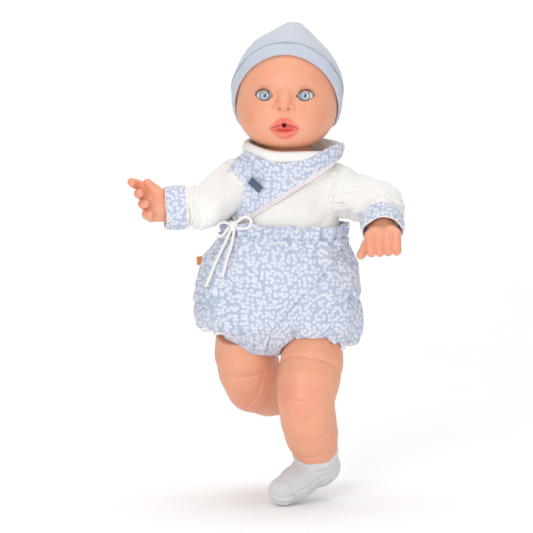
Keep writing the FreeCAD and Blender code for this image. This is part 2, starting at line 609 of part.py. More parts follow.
# ---- the tie at the right of the waist ----
KNOT = V(-51, -33, 98)
TIE_ROUTES = {
    "tie_loop_a": [V(-4, -2, 2), V(-13, -7, 6), V(-17, -9, -6), V(-11, -8, -13), V(-4.4, -2.2, -1.6)],
    "tie_loop_b": [V(3, -2, 3), V(10, -6, 12), V(19, -7, 8), V(16, -11, -2), V(4, -3, -2)],
    "tie_tail_a": [V(-2, -1, -4), V(-7, -5, -17), V(-14, -10, -32), V(-19, -8, -47), V(-24, -8, -61)],
    "tie_tail_b": [V(1.5, -1, -4), V(0, -7, -18), V(-5, -14, -34), V(-8, -16, -50)],
}


def bent_path(points):
    """Straight runs joined by tangent arcs, each as large as its two runs allow."""
    edges = []
    start = points[0]
    radii = []
    for i in range(1, len(points) - 1):
        corner = points[i]
        back = points[i - 1] - corner
        ahead = points[i + 1] - corner
        reach = 0.45 * min(back.Length, ahead.Length)
        turn = math.pi - back.getAngle(ahead)
        radius = reach / math.tan(turn / 2)
        radii.append(radius)
        enter = corner + unit(back) * reach
        leave = corner + unit(ahead) * reach
        inward = unit(unit(back) + unit(ahead))
        middle = corner + inward * (radius / math.cos(turn / 2) - radius)
        edges.append(Part.LineSegment(start, enter).toShape())
        edges.append(Part.Arc(enter, middle, leave).toShape())
        start = leave
    edges.append(Part.LineSegment(start, points[-1]).toShape())
    return Part.Wire(edges), radii


def make_tie():
    knot = ellipsoid((5, 3.6, 5), KNOT)
    add("tie_knot", knot, TRUNK)
    for name, route in TIE_ROUTES.items():
        points = [KNOT + step for step in route]
        path, radii = bent_path(points)
        section = Part.Wire(Part.makeCircle(TIE_DIAMETER / 2, points[0], points[1] - points[0]))
        cord = path.makePipeShell([section], True, False)
        ideal = math.pi * (TIE_DIAMETER / 2) ** 2 * path.Length
        print(name, "length", round(path.Length, 1), "radii", [round(r, 1) for r in radii],
              "volume ratio", round(cord.Volume / ideal, 3))
        add(name, whole(cord.cut(knot)), TRUNK)


def drop_to_ground():
    """Moves everything so that the origin is under the middle, at the lowest point."""
    box = Part.makeCompound(list(parts.values())).optimalBoundingBox(False)
    shift = V(-(box.XMin + box.XMax) / 2, -(box.YMin + box.YMax) / 2, -box.ZMin)
    print("shift", shift, "size", box.XLength, box.YLength, box.ZLength)
    for shape in parts.values():
        shape.translate(shift)
    return shift


def flatten_toe(shift):
    """Presses a small flat into the front sock, where the doll's weight comes down."""
    for shape in parts.values():
        shape.translate(V(0, 0, -TOE_FLAT))
    under = Part.makeBox(800, 800, 50, V(-400, -400, -50))
    parts["sock_left"] = whole(parts["sock_left"].cut(under))
    return shift + V(0, 0, -TOE_FLAT)


make_trunk()
make_module()
make_neck()
make_head()
for name_of_side in SIDES:
    make_arm(name_of_side)
    make_leg(name_of_side)
make_tie()
SHIFT = flatten_toe(drop_to_ground())

os.makedirs("parts", exist_ok=True)
for node, shape in parts.items():
    shape.exportStep("parts/" + node + ".step")
    good = shape.isValid() and all(solid.isClosed() for solid in shape.Solids)
    print(node, len(shape.Solids), round(shape.Volume), "" if good else "BROKEN")
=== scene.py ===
import json
import math
import bpy
import numpy as np
from mathutils import Matrix, Vector


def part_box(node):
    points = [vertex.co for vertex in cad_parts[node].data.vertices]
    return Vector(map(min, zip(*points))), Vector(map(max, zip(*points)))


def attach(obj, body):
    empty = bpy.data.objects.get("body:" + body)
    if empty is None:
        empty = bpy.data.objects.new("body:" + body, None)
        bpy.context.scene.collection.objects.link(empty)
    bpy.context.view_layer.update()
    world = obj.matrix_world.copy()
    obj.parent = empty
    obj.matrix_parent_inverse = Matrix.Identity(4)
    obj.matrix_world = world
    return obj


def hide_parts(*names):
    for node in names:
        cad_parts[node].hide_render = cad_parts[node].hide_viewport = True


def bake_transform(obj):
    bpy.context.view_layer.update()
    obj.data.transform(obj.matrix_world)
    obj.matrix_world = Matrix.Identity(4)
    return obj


bl_info = {
    "name": "Baby doll",
    "version": (1, 0, 0),
    "blender": (4, 5, 0),
    "location": "View3D > Sidebar > Doll",
    "description": "Dresses a soft-bodied baby doll: vinyl head and limbs, hat, wrap top, bloomers, socks",
    "category": "Add Mesh",
}

# The frame is in metres. Every shape below is worked out in millimetres, in the frame of
# the trunk, the head, a thigh or an arm, and is put in its place as its mesh is made.
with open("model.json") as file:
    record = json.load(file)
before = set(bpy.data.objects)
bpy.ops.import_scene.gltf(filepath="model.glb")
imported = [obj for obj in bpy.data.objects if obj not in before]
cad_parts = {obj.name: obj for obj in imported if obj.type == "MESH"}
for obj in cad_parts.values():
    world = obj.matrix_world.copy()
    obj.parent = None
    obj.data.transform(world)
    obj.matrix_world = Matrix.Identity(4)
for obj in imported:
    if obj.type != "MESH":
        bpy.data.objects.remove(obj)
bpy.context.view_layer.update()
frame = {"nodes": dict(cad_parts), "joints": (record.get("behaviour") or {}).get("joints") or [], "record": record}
JOINTS = {joint["name"]: joint for joint in frame["joints"]}
MM = 0.001
SIDES = {"left": 1, "right": -1}
COARSE = 1.0

# ---- the doll's own proportions, in millimetres and degrees ----
EYE_FORWARD = -39.5
EYE_LEVEL = -8.0
EYE_RADIUS = 11.0
EYE_ASIDE = 20.0
MOUTH_LEVEL = -37.5
NOSTRIL = (4.6, -58.0, -21.8)
UPPER_ARM_LENGTH = 50.0
FOREARM_LENGTH = 38.0
FOREARM_WAY = {"left": (0.05, -0.80, -0.60), "right": (-0.99, -0.10, -0.03)}
HAND_WAY = {"left": (0.0, -0.98, -0.10), "right": (-0.92, -0.20, 0.34)}
KNUCKLE_WAY = {"left": (0.97, -0.20, 0.05), "right": (-0.30, -0.20, -0.93)}
THUMB_WAY = {"left": (-0.60, -0.35, -0.70), "right": (-0.70, -0.20, 0.70)}
THIGH_LENGTH = 86.0
SHIN_LENGTH = 75.0
KNEE_BEND = 60.0
ANKLE_LIFT = 8.0
TOE_IN = 26.0
FOOT_REACH = 52.0
HEEL_REACH = 11.0
# Each thigh's swing, splay and twist in the pose at rest.
LEG_POSE = {"left": (-30.0, 7.0, -19.0), "right": (26.0, -12.0, -45.0)}
HAT_EDGE_SLOPE = 35.5
HAT_CUFF = 17.0
# Each row of these stacks of ellipses: height, half width, half depth.
TORSO = [(-8, 26, 26), (25, 46, 38), (60, 54, 42), (95, 55, 40), (120, 49, 35), (142, 40, 29), (152, 27, 22)]
SEAT = [(-32, 22, 20), (-18, 46, 34), (-2, 64, 42), (14, 76, 45), (34, 82, 52), (62, 77, 53), (82, 61, 47),
        (96, 61, 47)]
CROWN = [(-40, 36, 40), (-20, 50, 54), (-2, 54, 58), (9, 52.5, 57), (19, 50, 55), (29, 46, 52),
         (39, 40.5, 46), (48, 33, 38), (54, 25.5, 29), (59, 18.5, 20), (64, 11.5, 12), (69, 7, 7)]
# Each row of the neck: height, half width on the doll's right and on its left, half depth.
NECK = [(138, 42, 42, 34), (165, 44, 48, 37), (178, 42, 53, 37), (192, 42, 61, 40)]
COLLAR_RIM = 176.5
LEG_RADII = [20, 27, 30, 29.5, 26, 26.5, 25, 20.5, 18.5]
# The bloomers: the height of each hem, the puffed legs, the folds seen from the front as start and
# end (across, height), and the lower edge of the front panel as places across and their heights.
HEM = {"left": -20.0, "right": -13.0}
PUFF_RADIUS = 45.0
PUFF_ASIDE = 38.0
FOLDS = [((70, 40), (70, 24)), ((70, 24), (28, -3)), ((22, 30), (3, 8)), ((-74, 30), (-62, 2)),
         ((-60, 12), (-40, -8)), ((46, 66), (34, 34)), ((58, 8), (44, -16)), ((20, 4), (14, -14)),
         ((-72, 6), (-64, -10))]
PANEL_EDGE = ((-95, -87, -70, -44, -14, -7, 2, 17, 45, 70), (22, 17, 13, -11, -31, -4, 7, 29, 60, 100))
# How each finger curls: how far its three bones reach along the hand and towards the palm.
FINGERS = {
    "left": [((8, 5), (1, 9), (-6, 3))] * 4,
    "right": [((12, 2), (8, 5), (4, 6)), ((10, 3), (6, 7), (1, 7)), ((8, 4), (4, 7), (-1, 6)),
              ((6, 4), (2, 6), (-2, 5))],
}
FINGER_RADII = (5.6, 5.2, 4.8, 4.3)
# The iris and the pupil, as an angle from the front of the eye over a right angle.
IRIS = 28.5 / 90
PUPIL = 9.5 / 90
# The bow: its knot, and the route of each loop and tail from there, in the trunk's frame.
KNOT = (-51, -33, 98)
TIE_ROUTES = {
    "tie_loop_a": [(-4, -2, 2), (-13, -7, 6), (-17, -9, -6), (-11, -8, -13), (-4.4, -2.2, -1.6)],
    "tie_loop_b": [(3, -2, 3), (10, -6, 12), (19, -7, 8), (16, -11, -2), (4, -3, -2)],
    "tie_tail_a": [(-2, -1, -4), (-7, -5, -17), (-14, -10, -32), (-19, -8, -47), (-24, -8, -61)],
    "tie_tail_b": [(1.5, -1, -4), (0, -7, -18), (-5, -14, -34), (-8, -16, -50)],
}

# ---- the studio, in metres and degrees ----
CAMERA_DISTANCE = 8.0
CAMERA_RISE = 8.0
CAMERA_TARGET = (-0.0125, 0.0, 0.0549)      # from the middle between the hips
VIEW_WIDTH = 0.533
SENSOR_WIDTH = 36.0
AIR_STRENGTH = 0.46
LAMP_TARGET = (0, 0, 0.24)
# Each lamp: its place, its size, its power and what it is aimed at.
LAMPS = {
    "key_light": ((-0.55, -1.6, 0.8), 0.9, 13.0, LAMP_TARGET),
    "fill_light": ((1.0, -1.5, 0.6), 1.2, 6.2, LAMP_TARGET),
    "top_light": ((0.1, 0.2, 1.7), 1.4, 6.5, LAMP_TARGET),
    "wall_light": ((0, 0.3, 1.9), 1.6, 9.0, (0, 1.5, 0.9)),
}


# ---- frames of the posed doll, from the joints ----
def joint_spot(name):
    return Vector(JOINTS[name]["pos_m"]) / MM


def joint_way(name):
    return Vector(JOINTS[name]["axis"]).normalized()


def place_of(across, back, up, spot):
    """A 4 x 4 frame in millimetres from its three axes and its origin."""
    turn = Matrix((across, back, up)).transposed()
    return Matrix.Translation(spot) @ turn.to_4x4()


def trunk_place():
    across = joint_way("hip_swing_left")
    back = Vector((0, 1, 0))
    middle = (joint_spot("hip_swing_left") + joint_spot("hip_swing_right")) / 2
    return place_of(across, back, across.cross(back), middle)


def head_place():
    across = joint_way("eye_roll_left")
    back = joint_way("mouth_press")
    up = joint_way("head_turn")
    eyes = (joint_spot("eye_roll_left") + joint_spot("eye_roll_right")) / 2
    return place_of(across, back, up, eyes - back * EYE_FORWARD - up * EYE_LEVEL)


def thigh_place(side):
    """Hip at the origin, thigh along -Z and the knee facing -Y."""
    swing, splay, turn = (math.radians(angle) for angle in LEG_POSE[side])
    spin = TRUNK.to_3x3() @ Matrix.Rotation(swing, 3, "X") @ Matrix.Rotation(splay, 3, "Y")
    spin = spin @ Matrix.Rotation(turn, 3, "Z")
    return Matrix.Translation(joint_spot("hip_swing_" + side)) @ spin.to_4x4()


TRUNK = trunk_place()
HEAD = head_place()
ROOM = Matrix.Identity(4)


def arm_points(side):
    """Shoulder, elbow and wrist in the room's frame, in millimetres."""
    shoulder = joint_spot("arm_swing_" + side)
    elbow = shoulder + joint_way("arm_twist_" + side) * UPPER_ARM_LENGTH
    wrist = elbow + Vector(FOREARM_WAY[side]).normalized() * FOREARM_LENGTH
    return shoulder, elbow, wrist


# ---- fields: distance-like functions of points, negative inside ----
def length(rows):
    return np.sqrt((rows * rows).sum(axis=1))


def ellipsoid(points, centre, radii):
    step = points - np.array(centre, float)
    near = length(step / np.array(radii, float))
    steep = length(step / np.array(radii, float) ** 2)
    return near * (near - 1) / np.maximum(steep, 1e-6)


def bar(points, start, end, radius_start, radius_end):
    """A round bar with ball ends."""
    start = np.array(start, float)
    run = np.array(end, float) - start
    share = np.clip((points - start) @ run / (run @ run), 0, 1)
    radius = radius_start + (radius_end - radius_start) * share
    return length(points - start - share[:, None] * run) - radius


def join(first, second, soft):
    """Both regions together, with a fillet about as wide as soft."""
    share = np.clip(0.5 + 0.5 * (second - first) / soft, 0, 1)
    return second * (1 - share) + first * share - soft * share * (1 - share)


def carve(field, tool, soft):
    return -join(-field, tool, soft)


def keep(field, limit, soft):
    """Only the part where limit is negative too."""
    return -join(-field, -limit, soft)


def bump(points, centre, size):
    step = (points - np.array(centre, float)) / np.array(size, float)
    return np.exp(-(step * step).sum(axis=1))


def mirrored(points):
    return np.column_stack((np.abs(points[:, 0]), points[:, 1], points[:, 2]))


def chain(points, route, radii, soft):
    """Round bars from point to point, each with the radius given there."""
    result = bar(points, route[0], route[1], radii[0], radii[1])
    for i in range(1, len(route) - 1):
        result = join(result, bar(points, route[i], route[i + 1], radii[i], radii[i + 1]), soft)
    return result


def crease(points, start, end, width):
    """1 on the line between two points seen from the front, falling to 0 beside it."""
    flat = points[:, [0, 2]]
    start = np.array(start, float)
    run = np.array(end, float) - start
    share = np.clip((flat - start) @ run / (run @ run), 0, 1)
    aside = length(flat - start - share[:, None] * run)
    taper = np.sin(np.pi * np.clip(share * 0.9 + 0.08, 0, 1))
    return np.exp(-(aside / width) ** 2) * taper


def ripples(points, sizes, seed):
    """Slow uneven waves from -1 to 1, always the same for the same seed."""
    chance = np.random.RandomState(seed)
    total = np.zeros(len(points))
    for size in sizes:
        way = chance.normal(size=3)
        way /= np.sqrt(way @ way)
        bend = chance.normal(size=3)
        bend /= np.sqrt(bend @ bend)
        phase = chance.uniform(0, 6.28, 2)
        sway = 0.7 * np.sin(points @ bend * 2.2 / size + phase[0])
        total += np.sin(points @ way * 6.28 / size + phase[1] + sway)
    return total / len(sizes)


# ---- skins: meshes drawn over the fields ----
def slope_of(field, points, reach=0.25):
    slope = np.zeros_like(points)
    for axis in range(3):
        step = np.zeros(3)
        step[axis] = reach
        slope[:, axis] = (field(points + step) - field(points - step)) / (2 * reach)
    return slope


def settle(points, field, furthest):
    """Moves points straight onto the field's surface."""
    for _ in range(3):
        slope = slope_of(field, points)
        steep = np.maximum((slope * slope).sum(axis=1), 0.05)
        move = np.clip(field(points) / np.sqrt(steep), -furthest, furthest) / np.sqrt(steep)
        points = points - slope * move[:, None]
    return points


# The parts of the grid that one pass works out, to keep memory small.
POINTS_AT_ONCE = 400000


def skin_net(field, low, high, step):
    """A closed net of four-sided faces round the region where the field is negative."""
    step = step * COARSE
    low = np.array(low, float)
    counts = np.ceil((np.array(high, float) - low) / step).astype(int) + 1
    axes = [low[k] + step * np.arange(counts[k]) for k in range(3)]
    grid = np.stack(np.meshgrid(*axes, indexing="ij"), axis=-1).reshape(-1, 3)
    shares = np.array_split(grid, max(1, len(grid) // POINTS_AT_ONCE))
    value = np.concatenate([field(share) for share in shares])
    value = value.reshape(counts)
    inside = value < 0
    cells = counts - 1
    corners = [(a, b, c) for a in (0, 1) for b in (0, 1) for c in (0, 1)]
    total = np.zeros(cells, int)
    for a, b, c in corners:
        total += inside[a:a + cells[0], b:b + cells[1], c:c + cells[2]]
    spots = np.argwhere((total > 0) & (total < 8))
    index = np.full(cells, -1)
    index[tuple(spots.T)] = np.arange(len(spots))
    summed = np.zeros((len(spots), 3))
    hits = np.zeros(len(spots))
    for corner in corners:
        for axis in range(3):
            if corner[axis]:
                continue
            other = list(corner)
            other[axis] = 1
            here = value[tuple((spots + corner).T)]
            there = value[tuple((spots + other).T)]
            crossed = (here < 0) != (there < 0)
            share = np.where(crossed, here / np.where(crossed, here - there, 1), 0)
            mark = np.tile(np.array(corner, float), (len(spots), 1))
            mark[:, axis] = share
            summed += mark * crossed[:, None]
            hits += crossed
    points = low + step * (spots + summed / hits[:, None])
    return settle(points, field, step * 0.6), net_faces(inside, index)


def net_faces(inside, index):
    """One face across each grid edge that runs from inside to outside."""
    faces = []
    for axis in range(3):
        first = np.take(inside, range(inside.shape[axis] - 1), axis)
        second = np.take(inside, range(1, inside.shape[axis]), axis)
        edges = np.argwhere(first != second)
        right = np.eye(3, dtype=int)[(axis + 1) % 3]
        above = np.eye(3, dtype=int)[(axis + 2) % 3]
        ring = [edges - right - above, edges - above, edges, edges - right]
        quads = np.column_stack([index[tuple(spot.T)] for spot in ring])
        outward = first[tuple(edges.T)]
        quads[~outward] = quads[~outward][:, ::-1]
        faces.append(quads)
    return np.concatenate(faces)


def moved_to(place, points):
    """Points carried from one of the doll's frames to where that frame is placed."""
    turn = np.array(place)
    return points @ turn[:3, :3].T + turn[:3, 3]


def new_piece(name, points, faces, material, place, caps=()):
    """An object at the origin from points in millimetres in one of the doll's frames."""
    mesh = bpy.data.meshes.new(name)
    mesh.from_pydata((moved_to(place, points) * MM).tolist(), [], faces.tolist() + list(caps))
    mesh.polygons.foreach_set("use_smooth", [True] * len(mesh.polygons))
    mesh.update()
    piece = bpy.data.objects.new(name, mesh)
    bpy.context.scene.collection.objects.link(piece)
    mesh.materials.append(material)
    return piece


def sculpt(name, field, box, step, material, place):
    """A piece drawn over a field inside a box, with its points and faces in the field's own frame."""
    points, faces = skin_net(field, *box, step)
    return new_piece(name, points, faces, material, place), points, faces


def paint(piece, name, values):
    """Stores one number per point for a material to read."""
    layer = piece.data.attributes.new(name, "FLOAT", "POINT")
    layer.data.foreach_set("value", np.clip(values, 0, 1).astype(np.float32))


def lay_print(piece, faces, around, along, period):
    """A UV map in metres: around the piece and along it. Around jumps back after one period."""
    u = around[faces]
    widest = u.max(axis=1)
    u = np.where(widest[:, None] - u > period / 2, u + period, u)
    v = along[faces]
    layer = piece.data.uv_layers.new(name="print")
    layer.data.foreach_set("uv", (np.stack((u, v), axis=-1).reshape(-1) * MM).astype(np.float32))


def ring_net(rows, count, shape):
    """Points and faces of an open tube: shape(turn, row) gives the points of one ring."""
    turn = np.linspace(0, 2 * math.pi, count, endpoint=False)
    points = np.concatenate([shape(turn, row) for row in rows])
    around = np.tile(turn, len(rows))
    step = np.arange(count)
    ahead = (step + 1) % count
    faces = []
    for i in range(len(rows) - 1):
        low = i * count
        faces.append(np.column_stack((low + step, low + ahead, low + count + ahead, low + count + step)))
    return points, np.concatenate(faces), around


def select_only(piece):
    bpy.ops.object.select_all(action="DESELECT")
    piece.select_set(True)
    bpy.context.view_layer.objects.active = piece


def thicken(piece, thickness):
    """Turns an open surface into a closed one with a wall."""
    select_only(piece)
    wall = piece.modifiers.new("wall", "SOLIDIFY")
    wall.thickness = thickness * MM
    wall.offset = 0.0
    wall.use_even_offset = True
    bpy.ops.object.modifier_apply(modifier=wall.name)
    piece.data.polygons.foreach_set("use_smooth", [True] * len(piece.data.polygons))


def thread(name, route, radius, material, closed=False):
    """A round thread or piping along points in the room's millimetres, as a mesh."""
    curve = bpy.data.curves.new(name, "CURVE")
    curve.dimensions = "3D"
    spline = curve.splines.new("NURBS")
    spline.points.add(len(route) - 1)
    for knot, spot in zip(spline.points, route):
        knot.co = (*(Vector(spot) * MM), 1)
    spline.order_u = 3
    spline.use_endpoint_u = not closed
    spline.use_cyclic_u = closed
    curve.bevel_depth = radius * MM
    curve.bevel_resolution = 2
    curve.use_fill_caps = not closed
    piece = bpy.data.objects.new(name, curve)
    bpy.context.scene.collection.objects.link(piece)
    select_only(piece)
    bpy.ops.object.convert(target="MESH")
    piece = bpy.context.view_layer.objects.active
    piece.name = name
    piece.data.materials.clear()
    piece.data.materials.append(material)
    piece.data.polygons.foreach_set("use_smooth", [True] * len(piece.data.polygons))
    return piece


def settle_in(piece, body, slot, *nodes):
    """Rides a piece on its body and hides the nodes it stands for; the slot is not used."""
    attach(piece, body)
    if nodes:
        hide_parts(*nodes)
    return piece


# ---- finishes ----
def put(tree, kind, *inputs, **settings):
    """Adds a node, sets its properties and feeds its inputs in order; None leaves one alone."""
    node = tree.nodes.new(kind)
    for key, value in settings.items():
        setattr(node, key, value)
    for socket, value in zip(node.inputs, inputs):
        feed(tree, socket, value)
    return node


def feed(tree, socket, value):
    if value is None:
        return
    if isinstance(value, bpy.types.NodeSocket):
        tree.links.new(value, socket)
    else:
        socket.default_value = value


def math_of(tree, operation, first, second=None, third=None):
    return put(tree, "ShaderNodeMath", first, second, third, operation=operation).outputs[0]


def ramp(tree, value, low, high, start=0.0, end=1.0):
    """Smoothly from start to end as value goes from low to high."""
    node = put(tree, "ShaderNodeMapRange", value, low, high, start, end, interpolation_type="SMOOTHSTEP")
    return node.outputs[0]


def mix(tree, share, first, second):
    """A colour between two colours."""
    node = tree.nodes.new("ShaderNodeMix")
    node.data_type = "RGBA"
    feed(tree, node.inputs["Factor"], share)
    feed(tree, node.inputs["A"], first)
    feed(tree, node.inputs["B"], second)
    return node.outputs["Result"]


def painted(tree, name):
    return put(tree, "ShaderNodeAttribute", attribute_name=name).outputs["Fac"]


def place_vector(tree):
    return put(tree, "ShaderNodeTexCoord").outputs["Object"]


def new_group(name, inputs, outputs):
    """A node group with named number, colour or vector sockets, and its two end nodes."""
    kinds = {"number": "NodeSocketFloat", "vector": "NodeSocketVector", "colour": "NodeSocketColor"}
    tree = bpy.data.node_groups.new(name, "ShaderNodeTree")
    for title, kind in inputs:
        tree.interface.new_socket(title, in_out="INPUT", socket_type=kinds[kind])
    for title, kind in outputs:
        tree.interface.new_socket(title, in_out="OUTPUT", socket_type=kinds[kind])
    return tree, tree.nodes.new("NodeGroupInput"), tree.nodes.new("NodeGroupOutput")


def use_group(tree, group, **inputs):
    node = tree.nodes.new("ShaderNodeGroup")
    node.node_tree = group
    for title, value in inputs.items():
        feed(tree, node.inputs[title.replace("_", " ").capitalize()], value)
    return node


def flower_print_group():
    """Small five-petalled flowers with a ring and a dot, scattered over a print."""
    tree, start, end = new_group("flower_print", [("Vector", "vector"), ("Size", "number")],
                                 [("Petals", "number"), ("Lines", "number"), ("Leaves", "number")])
    scaled = put(tree, "ShaderNodeVectorMath", start.outputs["Vector"], operation="SCALE")
    tree.links.new(math_of(tree, "DIVIDE", 1.0, start.outputs["Size"]), scaled.inputs["Scale"])
    cells = put(tree, "ShaderNodeTexVoronoi", scaled.outputs[0], voronoi_dimensions="2D")
    cells.inputs["Scale"].default_value = 1.0
    cells.inputs["Randomness"].default_value = 0.8
    away = put(tree, "ShaderNodeVectorMath", scaled.outputs[0], cells.outputs["Position"],
               operation="SUBTRACT")
    parts = put(tree, "ShaderNodeSeparateXYZ", away.outputs[0])
    angle = math_of(tree, "ARCTAN2", parts.outputs[1], parts.outputs[0])
    chance = put(tree, "ShaderNodeSeparateColor", cells.outputs["Color"])
    turned = math_of(tree, "MULTIPLY_ADD", chance.outputs[0], 6.28, math_of(tree, "MULTIPLY", angle, 5.0))
    lobes = math_of(tree, "MULTIPLY_ADD", math_of(tree, "COSINE", turned), 0.07, 0.36)
    edge = math_of(tree, "SUBTRACT", cells.outputs["Distance"], lobes)
    petals = ramp(tree, edge, 0.02, -0.03)
    ring = math_of(tree, "ABSOLUTE", math_of(tree, "SUBTRACT", cells.outputs["Distance"], 0.19))
    dot = ramp(tree, cells.outputs["Distance"], 0.1, 0.05)
    lines = math_of(tree, "MAXIMUM", ramp(tree, ring, 0.05, 0.01, 0.0, 0.6), dot)
    sprigs = put(tree, "ShaderNodeTexVoronoi", scaled.outputs[0], voronoi_dimensions="2D")
    sprigs.inputs["Scale"].default_value = 2.3
    leaves = ramp(tree, sprigs.outputs["Distance"], 0.22, 0.12)
    outside = math_of(tree, "SUBTRACT", 1.0, petals)
    tree.links.new(petals, end.inputs["Petals"])
    tree.links.new(math_of(tree, "MULTIPLY", lines, petals), end.inputs["Lines"])
    tree.links.new(math_of(tree, "MULTIPLY", leaves, outside), end.inputs["Leaves"])
    return tree


def knit_group():
    """Columns of small stitches: a height and a faint shade."""
    tree, start, end = new_group("fine_knit", [("Vector", "vector"), ("Size", "number")],
                                 [("Height", "number"), ("Shade", "number")])
    scaled = put(tree, "ShaderNodeVectorMath", start.outputs["Vector"], operation="SCALE")
    tree.links.new(math_of(tree, "DIVIDE", 1.0, start.outputs["Size"]), scaled.inputs["Scale"])
    parts = put(tree, "ShaderNodeSeparateXYZ", scaled.outputs[0])
    across = math_of(tree, "SINE", math_of(tree, "MULTIPLY", parts.outputs[0], 6.28))
    slant = math_of(tree, "MULTIPLY_ADD", math_of(tree, "ABSOLUTE", across), 1.5,
                    math_of(tree, "MULTIPLY", parts.outputs[2], 6.28))
    height = math_of(tree, "MULTIPLY", math_of(tree, "ABSOLUTE", across),
                     math_of(tree, "ABSOLUTE", math_of(tree, "SINE", slant)))
    fuzz = put(tree, "ShaderNodeTexNoise", scaled.outputs[0])
    fuzz.inputs["Scale"].default_value = 0.35
    fuzz.inputs["Detail"].default_value = 4
    tree.links.new(math_of(tree, "MULTIPLY_ADD", fuzz.outputs[0], 0.6, height), end.inputs["Height"])
    tree.links.new(ramp(tree, fuzz.outputs[0], 0.3, 0.7), end.inputs["Shade"])
    return tree


def new_material(name, roughness=0.5, sheen=0.0, coat=0.0, soft=0.0):
    """A material with a Principled shader; returns it, its tree and its shader."""
    material = bpy.data.materials.new(name)
    material.use_nodes = True
    tree = material.node_tree
    shader = tree.nodes["Principled BSDF"]
    shader.inputs["Roughness"].default_value = roughness
    shader.inputs["Sheen Weight"].default_value = sheen
    shader.inputs["Coat Weight"].default_value = coat
    shader.inputs["Subsurface Weight"].default_value = soft
    shader.inputs["Subsurface Scale"].default_value = 0.004
    return material, tree, shader


def finish_surface(tree, shader, colour, height, strength, distance):
    feed(tree, shader.inputs["Base Color"], colour)
    bumps = tree.nodes.new("ShaderNodeBump")
    bumps.inputs["Strength"].default_value = strength
    bumps.inputs["Distance"].default_value = distance
    tree.links.new(height, bumps.inputs["Height"])
    tree.links.new(bumps.outputs[0], shader.inputs["Normal"])


def noise_of(tree, scale, detail=3.0):
    node = put(tree, "ShaderNodeTexNoise", place_vector(tree))
    node.inputs["Scale"].default_value = scale
    node.inputs["Detail"].default_value = detail
    node.inputs["Roughness"].default_value = 0.55
    return node.outputs[0]


def tinted(colour, share):
    return (*(channel * share for channel in colour[:3]), 1.0)


def vinyl_material(name, colours, face=False):
    """Soft satin vinyl skin with a rosy unevenness; the face adds lips, blush, lash lines and painted shade at the
    lid folds, the nostrils and the mouth.
    """
    material, tree, shader = new_material(name, roughness=0.46, coat=0.06, soft=0.12)
    shader.inputs["Subsurface Radius"].default_value = (1.0, 0.35, 0.2)
    rosy = ramp(tree, noise_of(tree, 28.0), 0.35, 0.75, 0.0, 0.45)
    colour = mix(tree, rosy, tuple(colours.skin), tuple(colours.skin_rosy))
    colour = mix(tree, painted(tree, "blush"), colour, tuple(colours.blush))
    grain = noise_of(tree, 900.0, 2.0)
    if face:
        # Painted shade: this colour darkens the lid folds, the band under them and the nostrils.
        colour = mix(tree, painted(tree, "crease"), colour, tuple(colours.crease_and_painted_shade))
        lips = mix(tree, ramp(tree, noise_of(tree, 160.0), 0.3, 0.7), tuple(colours.lips),
                   tinted(colours.lips, 0.9))
        colour = mix(tree, painted(tree, "lips"), colour, lips)
        # Deeper red inside the parted lips: partly the lips' own paint, partly painted shade of the open mouth.
        colour = mix(tree, painted(tree, "mouth"), colour, tuple(colours.mouth))
        # Painted shade: dark along the groove where the lips part and in the mouth hole.
        colour = mix(tree, painted(tree, "parting_shade"), colour, tuple(colours.parting_shade))
        colour = mix(tree, painted(tree, "lash"), colour, tuple(colours.lashes))
    finish_surface(tree, shader, colour, grain, 0.12, 0.0004)
    rough = ramp(tree, noise_of(tree, 60.0), 0.3, 0.7, 0.42, 0.52)
    feed(tree, shader.inputs["Roughness"], rough)
    return material


def knit_material(name, colour, shade, stitch, deep):
    """Brushed jersey or rib, with uneven stitches and a soft bloom at grazing angles."""
    material, tree, shader = new_material(name, roughness=0.92, sheen=0.25)
    knit = use_group(tree, bpy.data.node_groups["fine_knit"], vector=place_vector(tree), size=stitch)
    worn = ramp(tree, noise_of(tree, 22.0, 4.0), 0.3, 0.72, 0.0, 0.35)
    colour = mix(tree, worn, tuple(colour), tuple(shade))
    colour = mix(tree, math_of(tree, "MULTIPLY", knit.outputs["Shade"], 0.25), colour, tuple(shade))
    finish_surface(tree, shader, colour, knit.outputs["Height"], deep, 0.0009)
    return material


def print_material(name, colours, flower):
    """Printed woven cotton: small white flowers on a pale blue ground."""
    material, tree, shader = new_material(name, roughness=0.88, sheen=0.2)
    spot = put(tree, "ShaderNodeUVMap", uv_map="print").outputs[0]
    pattern = use_group(tree, bpy.data.node_groups["flower_print"], vector=spot, size=flower)
    faded = ramp(tree, noise_of(tree, 30.0), 0.3, 0.7, 0.0, 0.4)
    ground = mix(tree, faded, tuple(colours.print_ground), tuple(colours.print_pale))
    leaves = math_of(tree, "MULTIPLY", pattern.outputs["Leaves"], 0.7)
    colour = mix(tree, leaves, ground, tuple(colours.print_leaf))
    colour = mix(tree, pattern.outputs["Petals"], colour, tuple(colours.print_flower))
    colour = mix(tree, pattern.outputs["Lines"], colour, tuple(colours.print_leaf))
    weave = put(tree, "ShaderNodeTexVoronoi", spot, voronoi_dimensions="2D", distance="MANHATTAN")
    weave.inputs["Scale"].default_value = 1400.0
    weave.inputs["Randomness"].default_value = 0.15
    finish_surface(tree, shader, colour, weave.outputs["Distance"], 0.25, 0.0004)
    return material


def plain_material(name, colour, roughness, metallic=0.0):
    """Moulded plastic, metal or coated board, with fine grain and slightly worn tone."""
    material, tree, shader = new_material(name, roughness=roughness)
    shader.inputs["Metallic"].default_value = metallic
    worn = ramp(tree, noise_of(tree, 45.0, 4.0), 0.35, 0.75)
    colour = mix(tree, math_of(tree, "MULTIPLY", worn, 0.4), tuple(colour), tinted(colour, 0.8))
    finish_surface(tree, shader, colour, noise_of(tree, 300.0, 2.0), 0.1, 0.0003)
    return material


